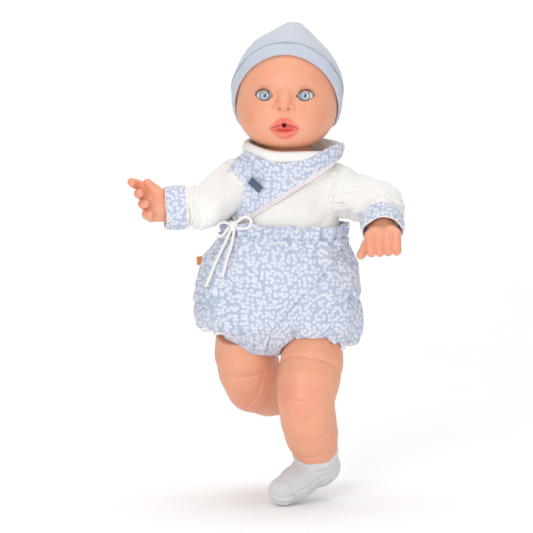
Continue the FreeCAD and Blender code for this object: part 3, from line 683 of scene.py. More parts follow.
def eye_material(name, colours):
    """Iris, pupil and white by how far round the ball from its front, under a clear coat."""
    material, tree, shader = new_material(name, roughness=0.12, coat=1.0)
    shader.inputs["Coat Roughness"].default_value = 0.02
    away = painted(tree, "from_front")
    rays = put(tree, "ShaderNodeTexNoise", put(tree, "ShaderNodeUVMap", uv_map="print").outputs[0])
    rays.inputs["Scale"].default_value = 5.0
    rays.inputs["Detail"].default_value = 5.0
    inner = ramp(tree, rays.outputs[0], 0.35, 0.65)
    iris = mix(tree, inner, tuple(colours.iris), tuple(colours.iris_light))
    iris = mix(tree, ramp(tree, away, IRIS * 0.72, IRIS * 0.98), iris, tuple(colours.iris_rim))
    iris = mix(tree, ramp(tree, away, PUPIL * 1.05, PUPIL * 0.9), iris, tuple(colours.pupil))
    colour = mix(tree, ramp(tree, away, IRIS * 1.08, IRIS * 0.97), tuple(colours.eye_white), iris)
    faint = noise_of(tree, 500.0)
    finish_surface(tree, shader, colour, faint, 0.02, 0.0001)
    return material


def colour_property(title, about, value):
    return bpy.props.FloatVectorProperty(name=title, description=about, default=(*value, 1.0), size=4,
                                         subtype="COLOR", min=0.0, max=1.0)


def size_property(title, about, value):
    return bpy.props.FloatProperty(name=title, description=about, default=value * MM, unit="LENGTH",
                                   subtype="DISTANCE", min=0.0, precision=5)


def screen(red, green, blue):
    """A colour as a screen names it, 0 to 255, in the scene's own linear terms."""
    return tuple(((c / 255 + 0.055) / 1.055) ** 2.4 for c in (red, green, blue))


class DollColours(bpy.types.PropertyGroup):
    """The doll's colours."""
    skin: colour_property("Skin", "Vinyl of the face and limbs", screen(229, 163, 131))
    skin_rosy: colour_property("Rosy skin", "Uneven warmer tone in the vinyl", screen(224, 149, 115))
    blush: colour_property("Blush", "Sprayed colour on the cheeks, knees and hands", screen(228, 128, 104))
    lips: colour_property("Lips", "Painted lips", screen(238, 128, 108))
    # Deeper red inside the parted lips: partly the lips' own paint, partly painted shade of the open mouth.
    mouth: colour_property("Mouth", "Deeper paint where the lips part", screen(214, 78, 62))
    # Painted shade: the dark line where the lips part and the dark round the mouth hole.
    parting_shade: colour_property("Parting", "Dark line between the lips", screen(140, 40, 34))
    # Also painted shade: the lid folds, the band under them and the nostrils take this colour.
    crease_and_painted_shade: colour_property("Lid crease", "Fine line above each eye", screen(196, 130, 104))
    lashes: colour_property("Lashes", "Lashes and lash line", screen(70, 45, 34))
    iris: colour_property("Iris", "Main colour of the iris", screen(118, 146, 166))
    iris_light: colour_property("Iris rays", "Lighter rays of the iris", screen(196, 212, 222))
    iris_rim: colour_property("Iris rim", "Dark outer ring of the iris", screen(30, 34, 42))
    pupil: colour_property("Pupil", "Pupil of the eye", screen(12, 12, 14))
    eye_white: colour_property("Eye white", "White of the eye", screen(236, 234, 232))
    hat: colour_property("Hat cuff", "Pale blue rib of the hat's cuff", screen(203, 210, 224))
    # Painted shade: the crown's colour is a greyer, darker copy of the cuff's pale blue, for the shade over the
    # crown.
    hat_crown_shaded: colour_property("Hat", "Jersey of the hat", screen(197, 201, 210))
    hat_shade: colour_property("Hat shade", "Deeper tone of the hat's jersey", screen(190, 197, 211))
    hat_seam: colour_property("Hat seam", "Thread where the cuff is sewn on", screen(176, 192, 216))
    white: colour_property("White jersey", "White knit of the top and socks", screen(243, 241, 238))
    white_shade: colour_property("White shade", "Warmer tone in the white knit", screen(232, 228, 224))
    sock: colour_property("Sock", "Knit of the socks", screen(233, 233, 236))
    sock_shade: colour_property("Sock shade", "Deeper tone of the socks", screen(214, 214, 219))
    print_ground: colour_property("Print ground", "Ground of the flower print", screen(176, 186, 207))
    print_pale: colour_property("Print pale", "Washed tone of the ground", screen(193, 200, 217))
    print_leaf: colour_property("Print sprigs", "Sprigs and flower centres", screen(146, 158, 190))
    print_flower: colour_property("Print flowers", "Flowers of the print", screen(232, 234, 240))
    piping: colour_property("Piping", "Pink-white edging", screen(242, 226, 224))
    orange: colour_property("Orange tape", "Folded tape on the hip", screen(222, 140, 74))
    navy: colour_property("Blue tape", "Folded tape at the neck", screen(84, 98, 124))
    floor: colour_property("Floor", "Studio floor and backdrop", screen(255, 255, 255))


class DollSizes(bpy.types.PropertyGroup):
    """Sizes of the doll's soft details."""
    flower: size_property("Flower", "Distance between the flowers of the print", 4.3)
    stitch: size_property("Stitch", "Width of one knitted stitch", 0.9)
    rib: size_property("Rib", "Width of one rib of the hat's and socks' knit", 1.5)
    cloth: size_property("Cloth", "Thickness of the cotton", 1.2)
    cord: size_property("Tie cord", "Diameter of the tie at the waist", 3.0)
    piping: size_property("Piping", "Radius of the edging cord", 0.9)


def colours_of(context):
    return context.scene.doll_colours


def sizes_of(context):
    return context.scene.doll_sizes


def finish_named(context, finish):
    """Each finish is made once, the first time that a piece asks for it."""
    name = "doll_" + finish
    if name in bpy.data.materials:
        return bpy.data.materials[name]
    colours = colours_of(context)
    sizes = sizes_of(context)
    if "fine_knit" not in bpy.data.node_groups:
        knit_group()
        flower_print_group()
    knits = {
        # The crown takes the greyer colour: painted shade.
        "hat_jersey": (colours.hat_crown_shaded, colours.hat_shade, sizes.stitch, 0.35),
        "hat_rib": (colours.hat, colours.hat_shade, sizes.rib, 0.5),
        "white_jersey": (colours.white, colours.white_shade, sizes.stitch, 0.35),
        "sock_knit": (colours.sock, colours.sock_shade, sizes.rib, 0.6),
        "body_cloth": (colours.white, colours.skin, sizes.stitch, 0.35),
        "piping_cotton": (colours.piping, colours.white, sizes.stitch, 0.2),
        "tie_cotton": (colours.white, colours.white_shade, sizes.stitch, 0.3),
        "hat_seam": (colours.hat_seam, colours.hat_shade, sizes.stitch, 0.2),
        "orange_tape": (colours.orange, tinted(colours.orange, 0.8), sizes.stitch, 0.35),
        "navy_tape": (colours.navy, tinted(colours.navy, 0.7), sizes.stitch, 0.35),
    }
    if finish in knits:
        colour, shade, stitch, deep = knits[finish]
        return knit_material(name, colour, shade, stitch, deep)
    if finish == "flower_cotton":
        return print_material(name, colours, sizes.flower)
    if finish == "eye_acrylic":
        return eye_material(name, colours)
    if finish == "lash_fibre":
        return plain_material(name, colours.lashes, 0.6)
    return vinyl_material(name, colours, face=finish == "face_vinyl")


# ---- head ----
def skull(points, grow):
    """Cranium and jaw without features, grown by so many millimetres."""
    narrow = 1 - 0.09 * np.clip((points[:, 2] - 4) / 30, 0, 1)
    slim = np.column_stack((points[:, 0] / narrow, points[:, 1], points[:, 2]))
    cranium = ellipsoid(slim, (0, 5, 8), (52.5 + grow, 59 + grow, 46.5 + grow))
    jaw = ellipsoid(points, (0, -12, -19), (50 + grow, 44 + grow, 43 + grow))
    return join(cranium, jaw, 8)


def eye_opening(points):
    """Across, height, and the upper and lower edge of the almond opening at that place."""
    across = np.abs(points[:, 0]) - EYE_ASIDE - 0.4
    height = points[:, 2] - EYE_LEVEL
    share = np.clip(1 - (across / 8.0) ** 2, 0, 1)
    tilt = 0.05 * across
    return across, height, 5.2 * share ** 0.6 + tilt, -4.9 * share ** 0.7 + tilt


def lip_line(points):
    """How far a point lies inside the painted lips, seen from the front."""
    across = np.abs(points[:, 0])
    share = np.clip(across / 15.0, 0, 1.2)
    top = -29.4 - 10.8 * share ** 1.45 - 0.9 * np.exp(-(across / 2.2) ** 2)
    bottom = -51.0 + 10.6 * share ** 2.1
    return np.minimum(top - points[:, 2], points[:, 2] - bottom)


def mouth_arch(points):
    """How far aside a point lies of the mouth, and the height of the arch where the lips part."""
    aside = np.abs(points[:, 0]) / 14.8
    return aside, -37.0 - 4.0 * np.clip(aside, 0, 1.2) ** 1.4


def face_field(points):
    """The whole vinyl head in its own frame, as one solid with its features."""
    half = mirrored(points)
    field = skull(points, 0)
    neck = ellipsoid(points, (0, 3, -60), (24, 24, 12))
    field = join(field, neck, 5)
    field -= 2.2 * bump(half, (28, -43, -33), (13, 14, 12))
    field -= 1.6 * bump(points, (0, -44, -57), (10, 12, 6))
    field += 1.3 * bump(points, (0, -48, -53), (9, 10, 2.6))
    field += 1.5 * bump(half, (18, -50, -3), (10, 12, 7))
    field += 1.6 * bump(half, (9.5, -54, -8), (4.5, 8, 7))
    field -= 1.0 * bump(half, (20, -48, 7), (13, 10, 4))
    field += 0.8 * bump(half, (21, -50, -16.5), (9, 8, 2.2))
    eye = length(half - np.array((EYE_ASIDE, EYE_FORWARD, EYE_LEVEL))) - (EYE_RADIUS + 1.5)
    field = join(field, eye, 2.5)
    bridge = bar(points, (0, -49.0, -3), (0, -55, -15), 3.4, 4.8)
    field = join(field, bridge, 6)
    field = join(field, ellipsoid(points, (0, -56.0, -17.4), (6.6, 6.2, 5.6)), 4)
    field = join(field, ellipsoid(half, (7.4, -53.0, -19.4), (4.2, 4.8, 3.8)), 1.8)
    field = carve(field, ellipsoid(half, NOSTRIL, (1.6, 2.8, 1.4)), 0.8)
    field += 0.9 * bump(points, (0, -55, -27), (2.2, 8, 3.4))
    upper = bar(half, (12.6, -49.0, -38.8), (3.6, -53.6, -33.4), 1.7, 2.8)
    lower = bar(half, (11.0, -48.2, -43.4), (0, -51.2, -46.4), 1.9, 3.3)
    field = join(field, join(upper, lower, 1.6), 2.2)
    aside, arch = mouth_arch(points)
    ahead = (points[:, 1] < -42) * np.clip(1.2 - aside ** 4, 0, 1)
    field += 0.9 * ahead * np.exp(-((points[:, 2] - arch) / 0.95) ** 2)
    field -= 0.7 * ahead * bump(points, (0, -52, -42.4), (7, 8, 2.6))
    field += 0.9 * bump(half, (16.6, -47, -41), (2.0, 5, 2.2))
    hole = length(points[:, [0, 2]] - np.array((0, MOUTH_LEVEL))) - 1.9
    field = carve(field, np.maximum(hole, points[:, 1] + 42), 0.5)
    across, height, top, bottom = eye_opening(points)
    lens = np.maximum(np.maximum(height - top, bottom - height), np.abs(across) - 8)
    field += 0.5 * np.exp(-((height - top - 3.6) / 0.9) ** 2) * (np.abs(across) < 10) * (points[:, 1] < -40)
    return carve(field, np.maximum(lens, points[:, 1] + 44.5), 0.7)


def paint_face(piece, points):
    """Stores where the lips, the blush and the lash lines are painted, and the painted shade in the lid folds,
    under the lids, in the nostrils, between the lips and in the mouth hole.
    """
    half = mirrored(points)
    front = points[:, 1] < -36
    across, height, top, bottom = eye_opening(points)
    paint(piece, "lips", np.clip(lip_line(points) / 0.9 + 0.5, 0, 1) * front)
    aside, arch = mouth_arch(points)
    # Deeper red inside the parted lips: partly the lips' own paint, partly painted shade of the open mouth.
    mouth = 1 - (points[:, 0] / 10.5) ** 2 - ((points[:, 2] + 41.4) / 4.0) ** 2
    paint(piece, "mouth", np.clip(mouth * 1.8, 0, 0.9) * front)
    # Painted shade: a dark line in the groove where the lips part, and a dark spot in and round the mouth hole.
    dark = np.exp(-((points[:, 2] - arch) / 0.7) ** 2) * np.clip(1.1 - aside ** 6, 0, 1)
    hole = np.exp(-(length(points[:, [0, 2]] - np.array((0, MOUTH_LEVEL))) / 2.4) ** 4)
    paint(piece, "parting_shade", np.maximum(0.75 * dark, hole) * front)
    blush = 0.36 * bump(half, (36, -36, -31), (14, 22, 14)) + 0.3 * bump(points, (0, -58, -18), (9, 9, 6))
    blush += 0.2 * bump(points, (0, -40, -58), (14, 16, 7)) + 0.16 * bump(half, (16, -44, 10), (20, 14, 9))
    paint(piece, "blush", blush * front)
    near = (np.abs(across) < 9.2) & front
    line = np.exp(-((height - top - 0.2) / 0.95) ** 2) * np.clip((across + 10) / 5, 0.5, 1)
    under = 0.8 * np.exp(-((height - bottom + 0.1) / 0.7) ** 2)
    paint(piece, "lash", np.clip(line * 1.2 + under, 0, 1) * near * (height > -6.6))
    # Painted shade: the lid's fold groove, a band under it above the lid's edge, and the nostrils are darkened.
    fold = np.exp(-((height - top - 3.6) / 0.8) ** 2) * np.clip(1 - (across / 9.5) ** 2, 0, 1)
    shadow = 0.55 * np.exp(-((height - top - 1.8) / 1.6) ** 2) * np.clip((across + 9) / 10, 0, 1)
    nostrils = np.exp(-(length((half - np.array(NOSTRIL))[:, [0, 2]]) / 1.5) ** 2)
    paint(piece, "crease", np.maximum(np.maximum(0.75 * fold, shadow * near), nostrils) * front)


def lash_fan(side):
    """Points and faces of a fan of thin tapered lashes along the upper lid's edge."""
    points = []
    faces = []
    count = 26
    chance = np.random.RandomState(11)
    for i in range(count):
        across = -7.4 + 15.0 * i / (count - 1)
        share = max(1 - (across / 8.0) ** 2, 0)
        height = 5.5 * share ** 0.7 + 0.05 * across
        back = math.sqrt(max((EYE_RADIUS + 0.9) ** 2 - across ** 2 - height ** 2, 1))
        root = np.array((across, -back, height))
        fan = 0.10 * across + chance.uniform(-0.12, 0.12)
        reach = 3.0 + 0.9 * (across > 0) + chance.uniform(-0.5, 0.4)
        middle = root + np.array((fan * 0.5, -0.9, 0.25)) * reach * 0.5
        tip = middle + np.array((fan, -0.35, 0.95)) * reach * 0.5
        for spot, half in ((root, 0.24), (middle, 0.17), (tip, 0.03)):
            for turn in range(4):
                angle = math.pi / 2 * turn
                rim = np.array((math.cos(angle), 0.3 * math.sin(angle), math.sin(angle)))
                points.append(spot + half * rim)
        base = 12 * i
        for level in (0, 4):
            for turn in range(4):
                ahead = (turn + 1) % 4
                faces.append((base + level + turn, base + level + ahead,
                              base + level + 4 + ahead, base + level + 4 + turn))
        faces.append((base + 3, base + 2, base + 1, base))
        faces.append((base + 8, base + 9, base + 10, base + 11))
    fan = np.array(points)
    if side == "right":
        fan[:, 0] *= -1
        faces = [face[::-1] for face in faces]
    return fan + np.array((SIDES[side] * (EYE_ASIDE + 0.4), EYE_FORWARD, EYE_LEVEL)), np.array(faces)


def eye_net(side):
    """A ball with its pole at the front, and how far round from the front each point lies."""
    rings = np.linspace(0.02, math.pi - 0.02, 56)
    count = 64

    def shape(turn, away):
        swell = EYE_RADIUS + 0.35 * math.exp(-(away / 0.4) ** 2)
        return np.column_stack((swell * math.sin(away) * np.cos(turn), -swell * math.cos(away) + 0 * turn,
                                -swell * math.sin(away) * np.sin(turn)))

    points, faces, around = ring_net(rings, count, shape)
    away = np.repeat(rings, count)
    poles = np.array([(0, -EYE_RADIUS - 0.35, 0), (0, EYE_RADIUS, 0)])
    last = len(points)
    back = last - count
    fans = []
    for i in range(count):
        ahead = (i + 1) % count
        fans += [(last, ahead, i), (last + 1, back + i, back + ahead)]
    centre = np.array((SIDES[side] * EYE_ASIDE, EYE_FORWARD, EYE_LEVEL))
    whole = np.concatenate((points, poles)) + centre
    return whole, faces, fans, np.append(away, (0, math.pi)), np.append(around, (0, 0))


class DollHead(bpy.types.Operator):
    """Vinyl head with its painted face."""
    bl_idname = "doll.head"
    bl_label = "Head"

    def execute(self, context):
        vinyl = finish_named(context, "face_vinyl")
        box = (-60, -68, -76), (60, 70, 66)
        head, points, faces = sculpt("vinyl_head", face_field, box, 0.9, vinyl, HEAD)
        paint_face(head, points)
        settle_in(head, "head", "skin_vinyl", "head_shell")
        return {"FINISHED"}


class DollEyes(bpy.types.Operator):
    """Glossy rolling eyes and their lashes."""
    bl_idname = "doll.eyes"
    bl_label = "Eyes"

    def execute(self, context):
        for side in SIDES:
            points, faces, fans, away, around = eye_net(side)
            eye = new_piece("eye_" + side, points, faces, finish_named(context, "eye_acrylic"), HEAD, fans)
            paint(eye, "from_front", away / (math.pi / 2))
            corners = np.zeros(len(eye.data.loops), int)
            eye.data.loops.foreach_get("vertex_index", corners)
            layer = eye.data.uv_layers.new(name="print")
            spread = np.column_stack((around[corners] * 3, away[corners] * 0.6))
            layer.data.foreach_set("uv", spread.reshape(-1).astype(np.float32))
            settle_in(eye, "eye_" + side, "eye_acrylic", "eyeball_" + side)
            points, faces = lash_fan(side)
            lashes = new_piece("lashes_" + side, points, faces, finish_named(context, "lash_fibre"), HEAD)
            settle_in(lashes, "eye_" + side, "eye_acrylic")
        return {"FINISHED"}


# ---- hat ----
def behind_edge(points):
    """Distance behind the hat's front edge, which slopes from the forehead down past the ears."""
    slope = math.radians(HAT_EDGE_SLOPE)
    return (points[:, 1] + 20) * math.cos(slope) + (points[:, 2] + 7) * math.sin(slope)


def crown_outer(points):
    """The outside of the hat's crown: the skull's form, drawn out to a soft peak that leans over."""
    lean = np.interp(points[:, 2], (0, 40, 50, 58, 68), (0.5, -0.5, -1.5, 1.5, 5.5))
    moved = points - np.column_stack((lean, 6 + 0 * lean, 0 * lean))
    field = join(skull(points, 3.2), keep(torso(moved, CROWN), points[:, 2] - 67.5, 5), 4)
    folds = ripples(points * np.array((1, 1, 0.45)), (31, 23, 17), 5)
    return field - 0.7 * folds * np.clip((points[:, 2] - 10) / 30, 0.2, 1)


def crown_field(points):
    field = carve(crown_outer(points), skull(points, 0.9), 0.5)
    field = keep(field, HAT_CUFF - 1.5 - behind_edge(points), 0.8)
    return keep(field, -36 - points[:, 2], 1.5)


def hat_cuff_field(points):
    back = behind_edge(points)
    roll = 5.0 - 2.0 * ((back - HAT_CUFF / 2) / (HAT_CUFF / 2)) ** 2
    ribs = 0.18 * np.sin(np.arctan2(points[:, 0], points[:, 2] + 30) * 110)
    waves = 0.5 * ripples(points, (34, 21), 8)
    outer = skull(points, 0) - roll - ribs - waves
    field = carve(outer, skull(points, 0.7), 0.5)
    field = keep(field, -back + 0.6 * ripples(points, (45, 27), 3), 2.2)
    field = keep(field, back - HAT_CUFF, 1.2)
    return keep(field, -36.5 - points[:, 2], 2.5)


class DollHat(bpy.types.Operator):
    """Peaked jersey hat with a turned-up cuff."""
    bl_idname = "doll.hat"
    bl_label = "Hat"

    def execute(self, context):
        box = (-63, -66, -42), (64, 76, 78)
        jersey, rib = finish_named(context, "hat_jersey"), finish_named(context, "hat_rib")
        crown = sculpt("hat_crown_jersey", crown_field, box, 1.0, jersey, HEAD)[0]
        settle_in(crown, "head", "hat_jersey", "hat_crown")
        cuff = sculpt("hat_cuff_rib", hat_cuff_field, box, 0.9, rib, HEAD)[0]
        settle_in(cuff, "head", "hat_rib", "hat_cuff")
        self.seam(context)
        return {"FINISHED"}

    def seam(self, context):
        """The sewn line where the crown meets the cuff."""
        slope = math.radians(HAT_EDGE_SLOPE)
        behind = Vector((0, math.cos(slope), math.sin(slope)))
        middle = Vector((0, -20, -7)) + behind * HAT_CUFF
        turns = np.linspace(math.radians(-42), math.radians(222), 56)
        rise = np.sin(turns)
        ways = np.column_stack((np.cos(turns), -rise * math.sin(slope), rise * math.cos(slope)))
        starts = np.tile(np.array(middle), (len(turns), 1))
        edge = outside_of(lambda points: np.minimum(crown_outer(points), skull(points, 4.2)), starts, ways)
        route = [HEAD @ Vector(spot) for spot in edge]
        seam = thread("hat_cuff_seam", route, 0.8, finish_named(context, "hat_seam"))
        settle_in(seam, "head", "hat_rib")


# ---- top ----
def level_of(table, height, column):
    heights = [row[0] for row in table]
    return np.interp(height, heights, [row[column] for row in table])


def torso(points, table, grow=0.0):
    """Distance-like field of a stack of level ellipses."""
    wide = level_of(table, points[:, 2], 1) + grow
    deep = level_of(table, points[:, 2], 2) + grow
    return (np.sqrt((points[:, 0] / wide) ** 2 + (points[:, 1] / deep) ** 2) - 1) * np.minimum(wide, deep)


def top_surface(points):
    """The jersey over the chest and back, with its shoulders and its soft creases."""
    field = torso(points, TORSO, 2.0)
    half = mirrored(points)
    shoulder = bar(half, (20, 0, 131), (42, 0, 134), 22, 24)
    field = join(field, shoulder, 9)
    field -= 0.8 * ripples(points * np.array((1, 1, 0.6)), (38, 24, 17), 21)
    front = np.clip(-points[:, 1] / 10, 0, 1)
    for start, end in (((44, 112), (30, 96)), ((38, 128), (22, 112)), ((12, 100), (-12, 92))):
        field += 1.2 * front * crease(points, start, end, 2.8)
    return field


def top_field(points):
    field = keep(top_surface(points), 87 - points[:, 2], 2)
    return keep(field, points[:, 2] - 151, 3)


def neck_core(points, grow):
    """The cone that the collar stands on, which is wider on the doll's left."""
    height = points[:, 2]
    wide = np.where(points[:, 0] > 0, level_of(NECK, height, 2), level_of(NECK, height, 1)) + grow
    deep = level_of(NECK, points[:, 2], 3) + grow
    back = points[:, 1] + np.interp(points[:, 2], (145, 175), (0, 8))
    return (np.sqrt((points[:, 0] / wide) ** 2 + (back / deep) ** 2) - 1) * np.minimum(wide, deep)


def jaw_near(points):
    """The head's own surface, in the trunk's frame."""
    return skull(moved_to(HEAD.inverted() @ TRUNK, points), 0)


def collar_rim(points):
    """Height of the collar's upper rim: low under the chin, higher beside and behind the jaw."""
    turn = np.arctan2(points[:, 0], -(points[:, 1] + 8))
    return COLLAR_RIM + 4.2 * (1 - np.cos(turn)) + 0.7 * np.sin(turn * 4)


def collar_field(points):
    """The white collar: a soft wall round the neck with its upper part folded down over it."""
    below = collar_rim(points) - points[:, 2]
    roll = 2.6 * np.sqrt(np.clip(1 - ((below - 6) / 6.4) ** 2, 0, 1))
    field = neck_core(points, 0.4) - roll - 0.5 * ripples(points, (26, 17), 14)
    field = carve(field, neck_core(points, -3.4), 1.0)
    field = keep(field, -below, 1.6)
    field = keep(field, 143 - points[:, 2], 1.0)
    return carve(field, jaw_near(points) - 1.0, 0.6)


def flap_bounds(across):
    """Lower and upper edge of the printed flap, from the left of the neck to the right of the waist."""
    low = np.interp(across, (-62, -48, 54), (126, 97, 171))
    high = np.interp(across, (-62, -60, -42, -24, -4, 20, 40, 54),
                     (128, 150, 173, 166.5, 164.5, 170, 182, 187))
    return low, high


def flap_base(points):
    """What the flap lies on: the top, the right shoulder and the collar."""
    shoulder = np.array(TRUNK.inverted() @ joint_spot("arm_swing_right"))
    field = join(top_surface(points), length(points - shoulder) - 25.8, 5)
    return join(field, np.maximum(neck_core(points, 2.2), points[:, 2] - 195), 6)


def outside_of(field, starts, ways):
    """Where rays from inside a field leave it, found by halving."""
    near = np.zeros(len(starts))
    far = np.full(len(starts), 90.0)
    for _ in range(26):
        middle = (near + far) / 2
        inside = field(starts + ways * middle[:, None]) < 0
        near = np.where(inside, middle, near)
        far = np.where(inside, far, middle)
    return starts + ways * near[:, None]


def flap_net(columns, rows):
    """The flap's cloth laid on the top: its points, faces, and flat place for the print."""
    across = np.linspace(-62, 54, columns)
    low, high = flap_bounds(across)
    points = []
    for share in np.linspace(0, 1, rows):
        starts = np.column_stack((across, 0 * across - 6, low + (high - low) * share))
        ways = np.tile((0.0, -1.0, 0.0), (columns, 1))
        points.append(outside_of(lambda spots: flap_base(spots) - 1.3, starts, ways))
    points = np.concatenate(points)
    points[:, 1] -= 0.7 * ripples(points, (30, 19), 26)
    step = np.arange(columns - 1)
    faces = []
    for row in range(rows - 1):
        low, high = row * columns + step, (row + 1) * columns + step
        faces.append(np.column_stack((low, low + 1, high + 1, high)))
    middle = points[rows // 2 * columns:(rows // 2 + 1) * columns, :2]
    run = np.append(0, np.cumsum(length(np.diff(middle, axis=0))))
    return points, np.concatenate(faces), np.tile(run, rows)


class DollTop(bpy.types.Operator):
    """White jersey top, its printed wrap flap, the edging and the neck bands."""
    bl_idname = "doll.top"
    bl_label = "Wrap top"

    def execute(self, context):
        white = finish_named(context, "white_jersey")
        top = sculpt("wrap_top_jersey", top_field, ((-70, -46, 84), (70, 46, 154)), 1.3, white, TRUNK)[0]
        settle_in(top, "trunk", "white_jersey", "wrap_top")
        self.flap(context)
        box = (-60, -58, 140), (66, 44, 192)
        collar = sculpt("neck_band_jersey", collar_field, box, 1.1, white, TRUNK)[0]
        settle_in(collar, "trunk", "white_jersey", "neck_band")
        self.armholes(context)
        return {"FINISHED"}

    def flap(self, context):
        """The printed flap that wraps over the chest, and the two threads along its lower edge."""
        columns, rows = 96, 44
        points, faces, around = flap_net(columns, rows)
        flap = new_piece("wrap_flap", points, faces, finish_named(context, "flower_cotton"), TRUNK)
        lay_print(flap, faces, around, points[:, 2], 1000.0)
        thicken(flap, sizes_of(context).cloth / MM)
        settle_in(flap, "trunk", "floral_cotton", "wrap_panel")
        edge = points[:columns] - np.array((0, 0.9, 0))
        for name, drop in (("flap_edging", 0.4), ("flap_edging_inner", -2.2)):
            route = [TRUNK @ Vector(spot - np.array((0, 0, drop))) for spot in edge[::3]]
            cord = thread(name, route, sizes_of(context).piping / MM, finish_named(context, "piping_cotton"))
            settle_in(cord, "trunk", "floral_cotton")

    def armholes(self, context):
        """The seam where each sleeve is set in, round the shoulder."""
        for side in SIDES:
            shoulder, elbow, wrist = arm_points(side)
            way = (elbow - shoulder).normalized()
            across = way.cross(Vector((0, 0, 1))).normalized()
            up = way.cross(across)
            route = []
            for turn in np.linspace(0, 2 * math.pi, 30, endpoint=False):
                route.append(shoulder + way * 1.5 + (across * math.cos(turn) + up * math.sin(turn)) * 25.3)
            white = finish_named(context, "white_jersey")
            seam = thread("armhole_seam_" + side, route, 0.7, white, closed=True)
            settle_in(seam, "upper_arm_" + side, "white_jersey")


# ---- arms ----
def spots(*vectors):
    return [np.array(tuple(vector), float) for vector in vectors]


def sleeve_field(side):
    shoulder, elbow, wrist = spots(*arm_points(side))
    fore = (wrist - elbow) / FOREARM_LENGTH
    end = elbow + fore * (FOREARM_LENGTH - 19)
    upper = (elbow - shoulder) / UPPER_ARM_LENGTH

    def field(points):
        result = length(points - shoulder) - 25.5
        result = join(result, bar(points, shoulder, elbow, 24, 21.5), 6)
        result = join(result, bar(points, elbow, end, 21.5, 19.5), 5)
        along = (points - shoulder) @ upper
        lower = (points - elbow) @ fore
        near_cuff = np.exp(-((lower - 12) / 9) ** 2)
        result -= 1.6 * near_cuff * np.sin(lower * 0.95 + ripples(points, (30,), 4) * 2.4)
        result -= 1.9 * ripples(points, (24, 17, 31), 12 + SIDES[side]) * np.clip(along / 20, 0.4, 1)
        result += 1.5 * np.exp(-((along - 4) / 2.2) ** 2) * (length(points - shoulder) < 30)
        gathered = np.exp(-((along - 1) / 7) ** 2)
        around = np.arctan2(points[:, 1] - shoulder[1], points[:, 2] - shoulder[2])
        result -= 0.5 * gathered * np.sin(around * 22)
        return keep(result, (points - end) @ fore - 1.5, 1.5)

    return field


def around_box(points, room):
    stack = np.array(points)
    return stack.min(axis=0) - room, stack.max(axis=0) + room


class DollSleeves(bpy.types.Operator):
    """Puffed jersey sleeves with printed cuffs."""
    bl_idname = "doll.sleeves"
    bl_label = "Sleeves"

    def execute(self, context):
        for side in SIDES:
            shoulder, elbow, wrist = arm_points(side)
            box = around_box(spots(shoulder, elbow, wrist), 30)
            jersey = finish_named(context, "white_jersey")
            sleeve = sculpt("sleeve_" + side, sleeve_field(side), box, 1.3, jersey, ROOM)[0]
            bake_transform(sleeve)
            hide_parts("sleeve_upper_" + side, "sleeve_lower_" + side)
            self.cuff(context, side, elbow, wrist)
        return {"FINISHED"}

    def cuff(self, context, side, elbow, wrist):
        """The printed cuff with its piping at the top and its rim."""
        fore = (wrist - elbow).normalized()
        start = elbow + fore * (FOREARM_LENGTH - 20)
        place = Matrix.Translation(start) @ fore.to_track_quat("Z", "Y").to_matrix().to_4x4()

        def shape(turn, row):
            flare = 20.6 - 1.2 * row + 0.9 * math.sin(math.pi * row) + 0.7 * row ** 3
            wave = 0.5 * np.sin(turn * 4 + 2) + 0.35 * np.sin(turn * 7 + row)
            return np.column_stack(((flare + wave) * np.cos(turn), (flare + wave) * np.sin(turn),
                                    20.5 * row + 0.5 * np.sin(turn * 3)))

        points, faces, around = ring_net(np.linspace(0, 1, 14), 96, shape)
        cuff = new_piece("cuff_print_" + side, points, faces, finish_named(context, "flower_cotton"), place)
        lay_print(cuff, faces, around * 20, points[:, 2], 2 * math.pi * 20)
        thicken(cuff, 1.5)
        settle_in(cuff, "forearm_" + side, "floral_cotton", "cuff_" + side)
        for name, row, radius in (("cuff_piping_", 0.0, 1.2), ("cuff_rim_", 1.0, 0.8)):
            turn = np.linspace(0, 2 * math.pi, 28, endpoint=False)
            route = [place @ Vector(spot) for spot in shape(turn, row)]
            edging = thread(name + side, route, radius, finish_named(context, "piping_cotton"), closed=True)
            settle_in(edging, "forearm_" + side, "floral_cotton")


def hand_axes(side):
    way = Vector(HAND_WAY[side]).normalized()
    knuckle = Vector(KNUCKLE_WAY[side])
    across = (knuckle - way * knuckle.dot(way)).normalized()
    palm = way.cross(across) * (-1 if side == "left" else 1)
    return spots(way, across, palm)


def hand_field(side):
    """Palm, curled fingers and thumb of one vinyl hand with its forearm, in the room's frame."""
    shoulder, elbow, wrist = spots(*arm_points(side))
    way, across, palm = hand_axes(side)
    reach, recede = (17.0, 0.0) if side == "left" else (20.0, 3.0)
    thumb_way = np.array(Vector(THUMB_WAY[side]).normalized())

    def field(points):
        result = bar(points, elbow, wrist, 15.5, 12.4)
        heel = bar(points, wrist + across * 5, wrist + way * 12 + across * 7, 9.5, 8.5)
        result = join(result, heel, 4)
        result = join(result, bar(points, wrist - across * 5, wrist + way * 11 - across * 6, 9.5, 8.5), 4)
        along = (points - wrist) @ way
        wristline = np.exp(-((along + 1.0) / 1.3) ** 2) * (length(points - wrist) < 18)
        result += 0.9 * wristline
        for i, bones in enumerate(FINGERS[side]):
            root = wrist + way * (reach - recede * i) + across * (i - 1.5) * 8.4
            start = wrist + across * (i - 1.5) * 4.5 + way * 4
            result = join(result, bar(points, start, root, 7.6, 5.7), 2.6)
            spot = root
            for bone, (ahead, inward) in enumerate(bones):
                tip = spot + way * ahead + palm * inward
                finger = bar(points, spot, tip, *FINGER_RADII[bone:bone + 2])
                result = join(result, finger, 0.7 if bone else 0.9)
                spot = tip
        base = wrist - across * 8 + way * 6 + palm * 3
        middle = base + thumb_way * 13
        result = join(result, bar(points, base, middle, 7.4, 5.6), 3)
        result = join(result, bar(points, middle, middle + thumb_way * 10 + palm * 2, 5.6, 4.4), 1.5)
        return result - 0.8 * bump(points, base + thumb_way * 4, (9, 9, 9))

    return field


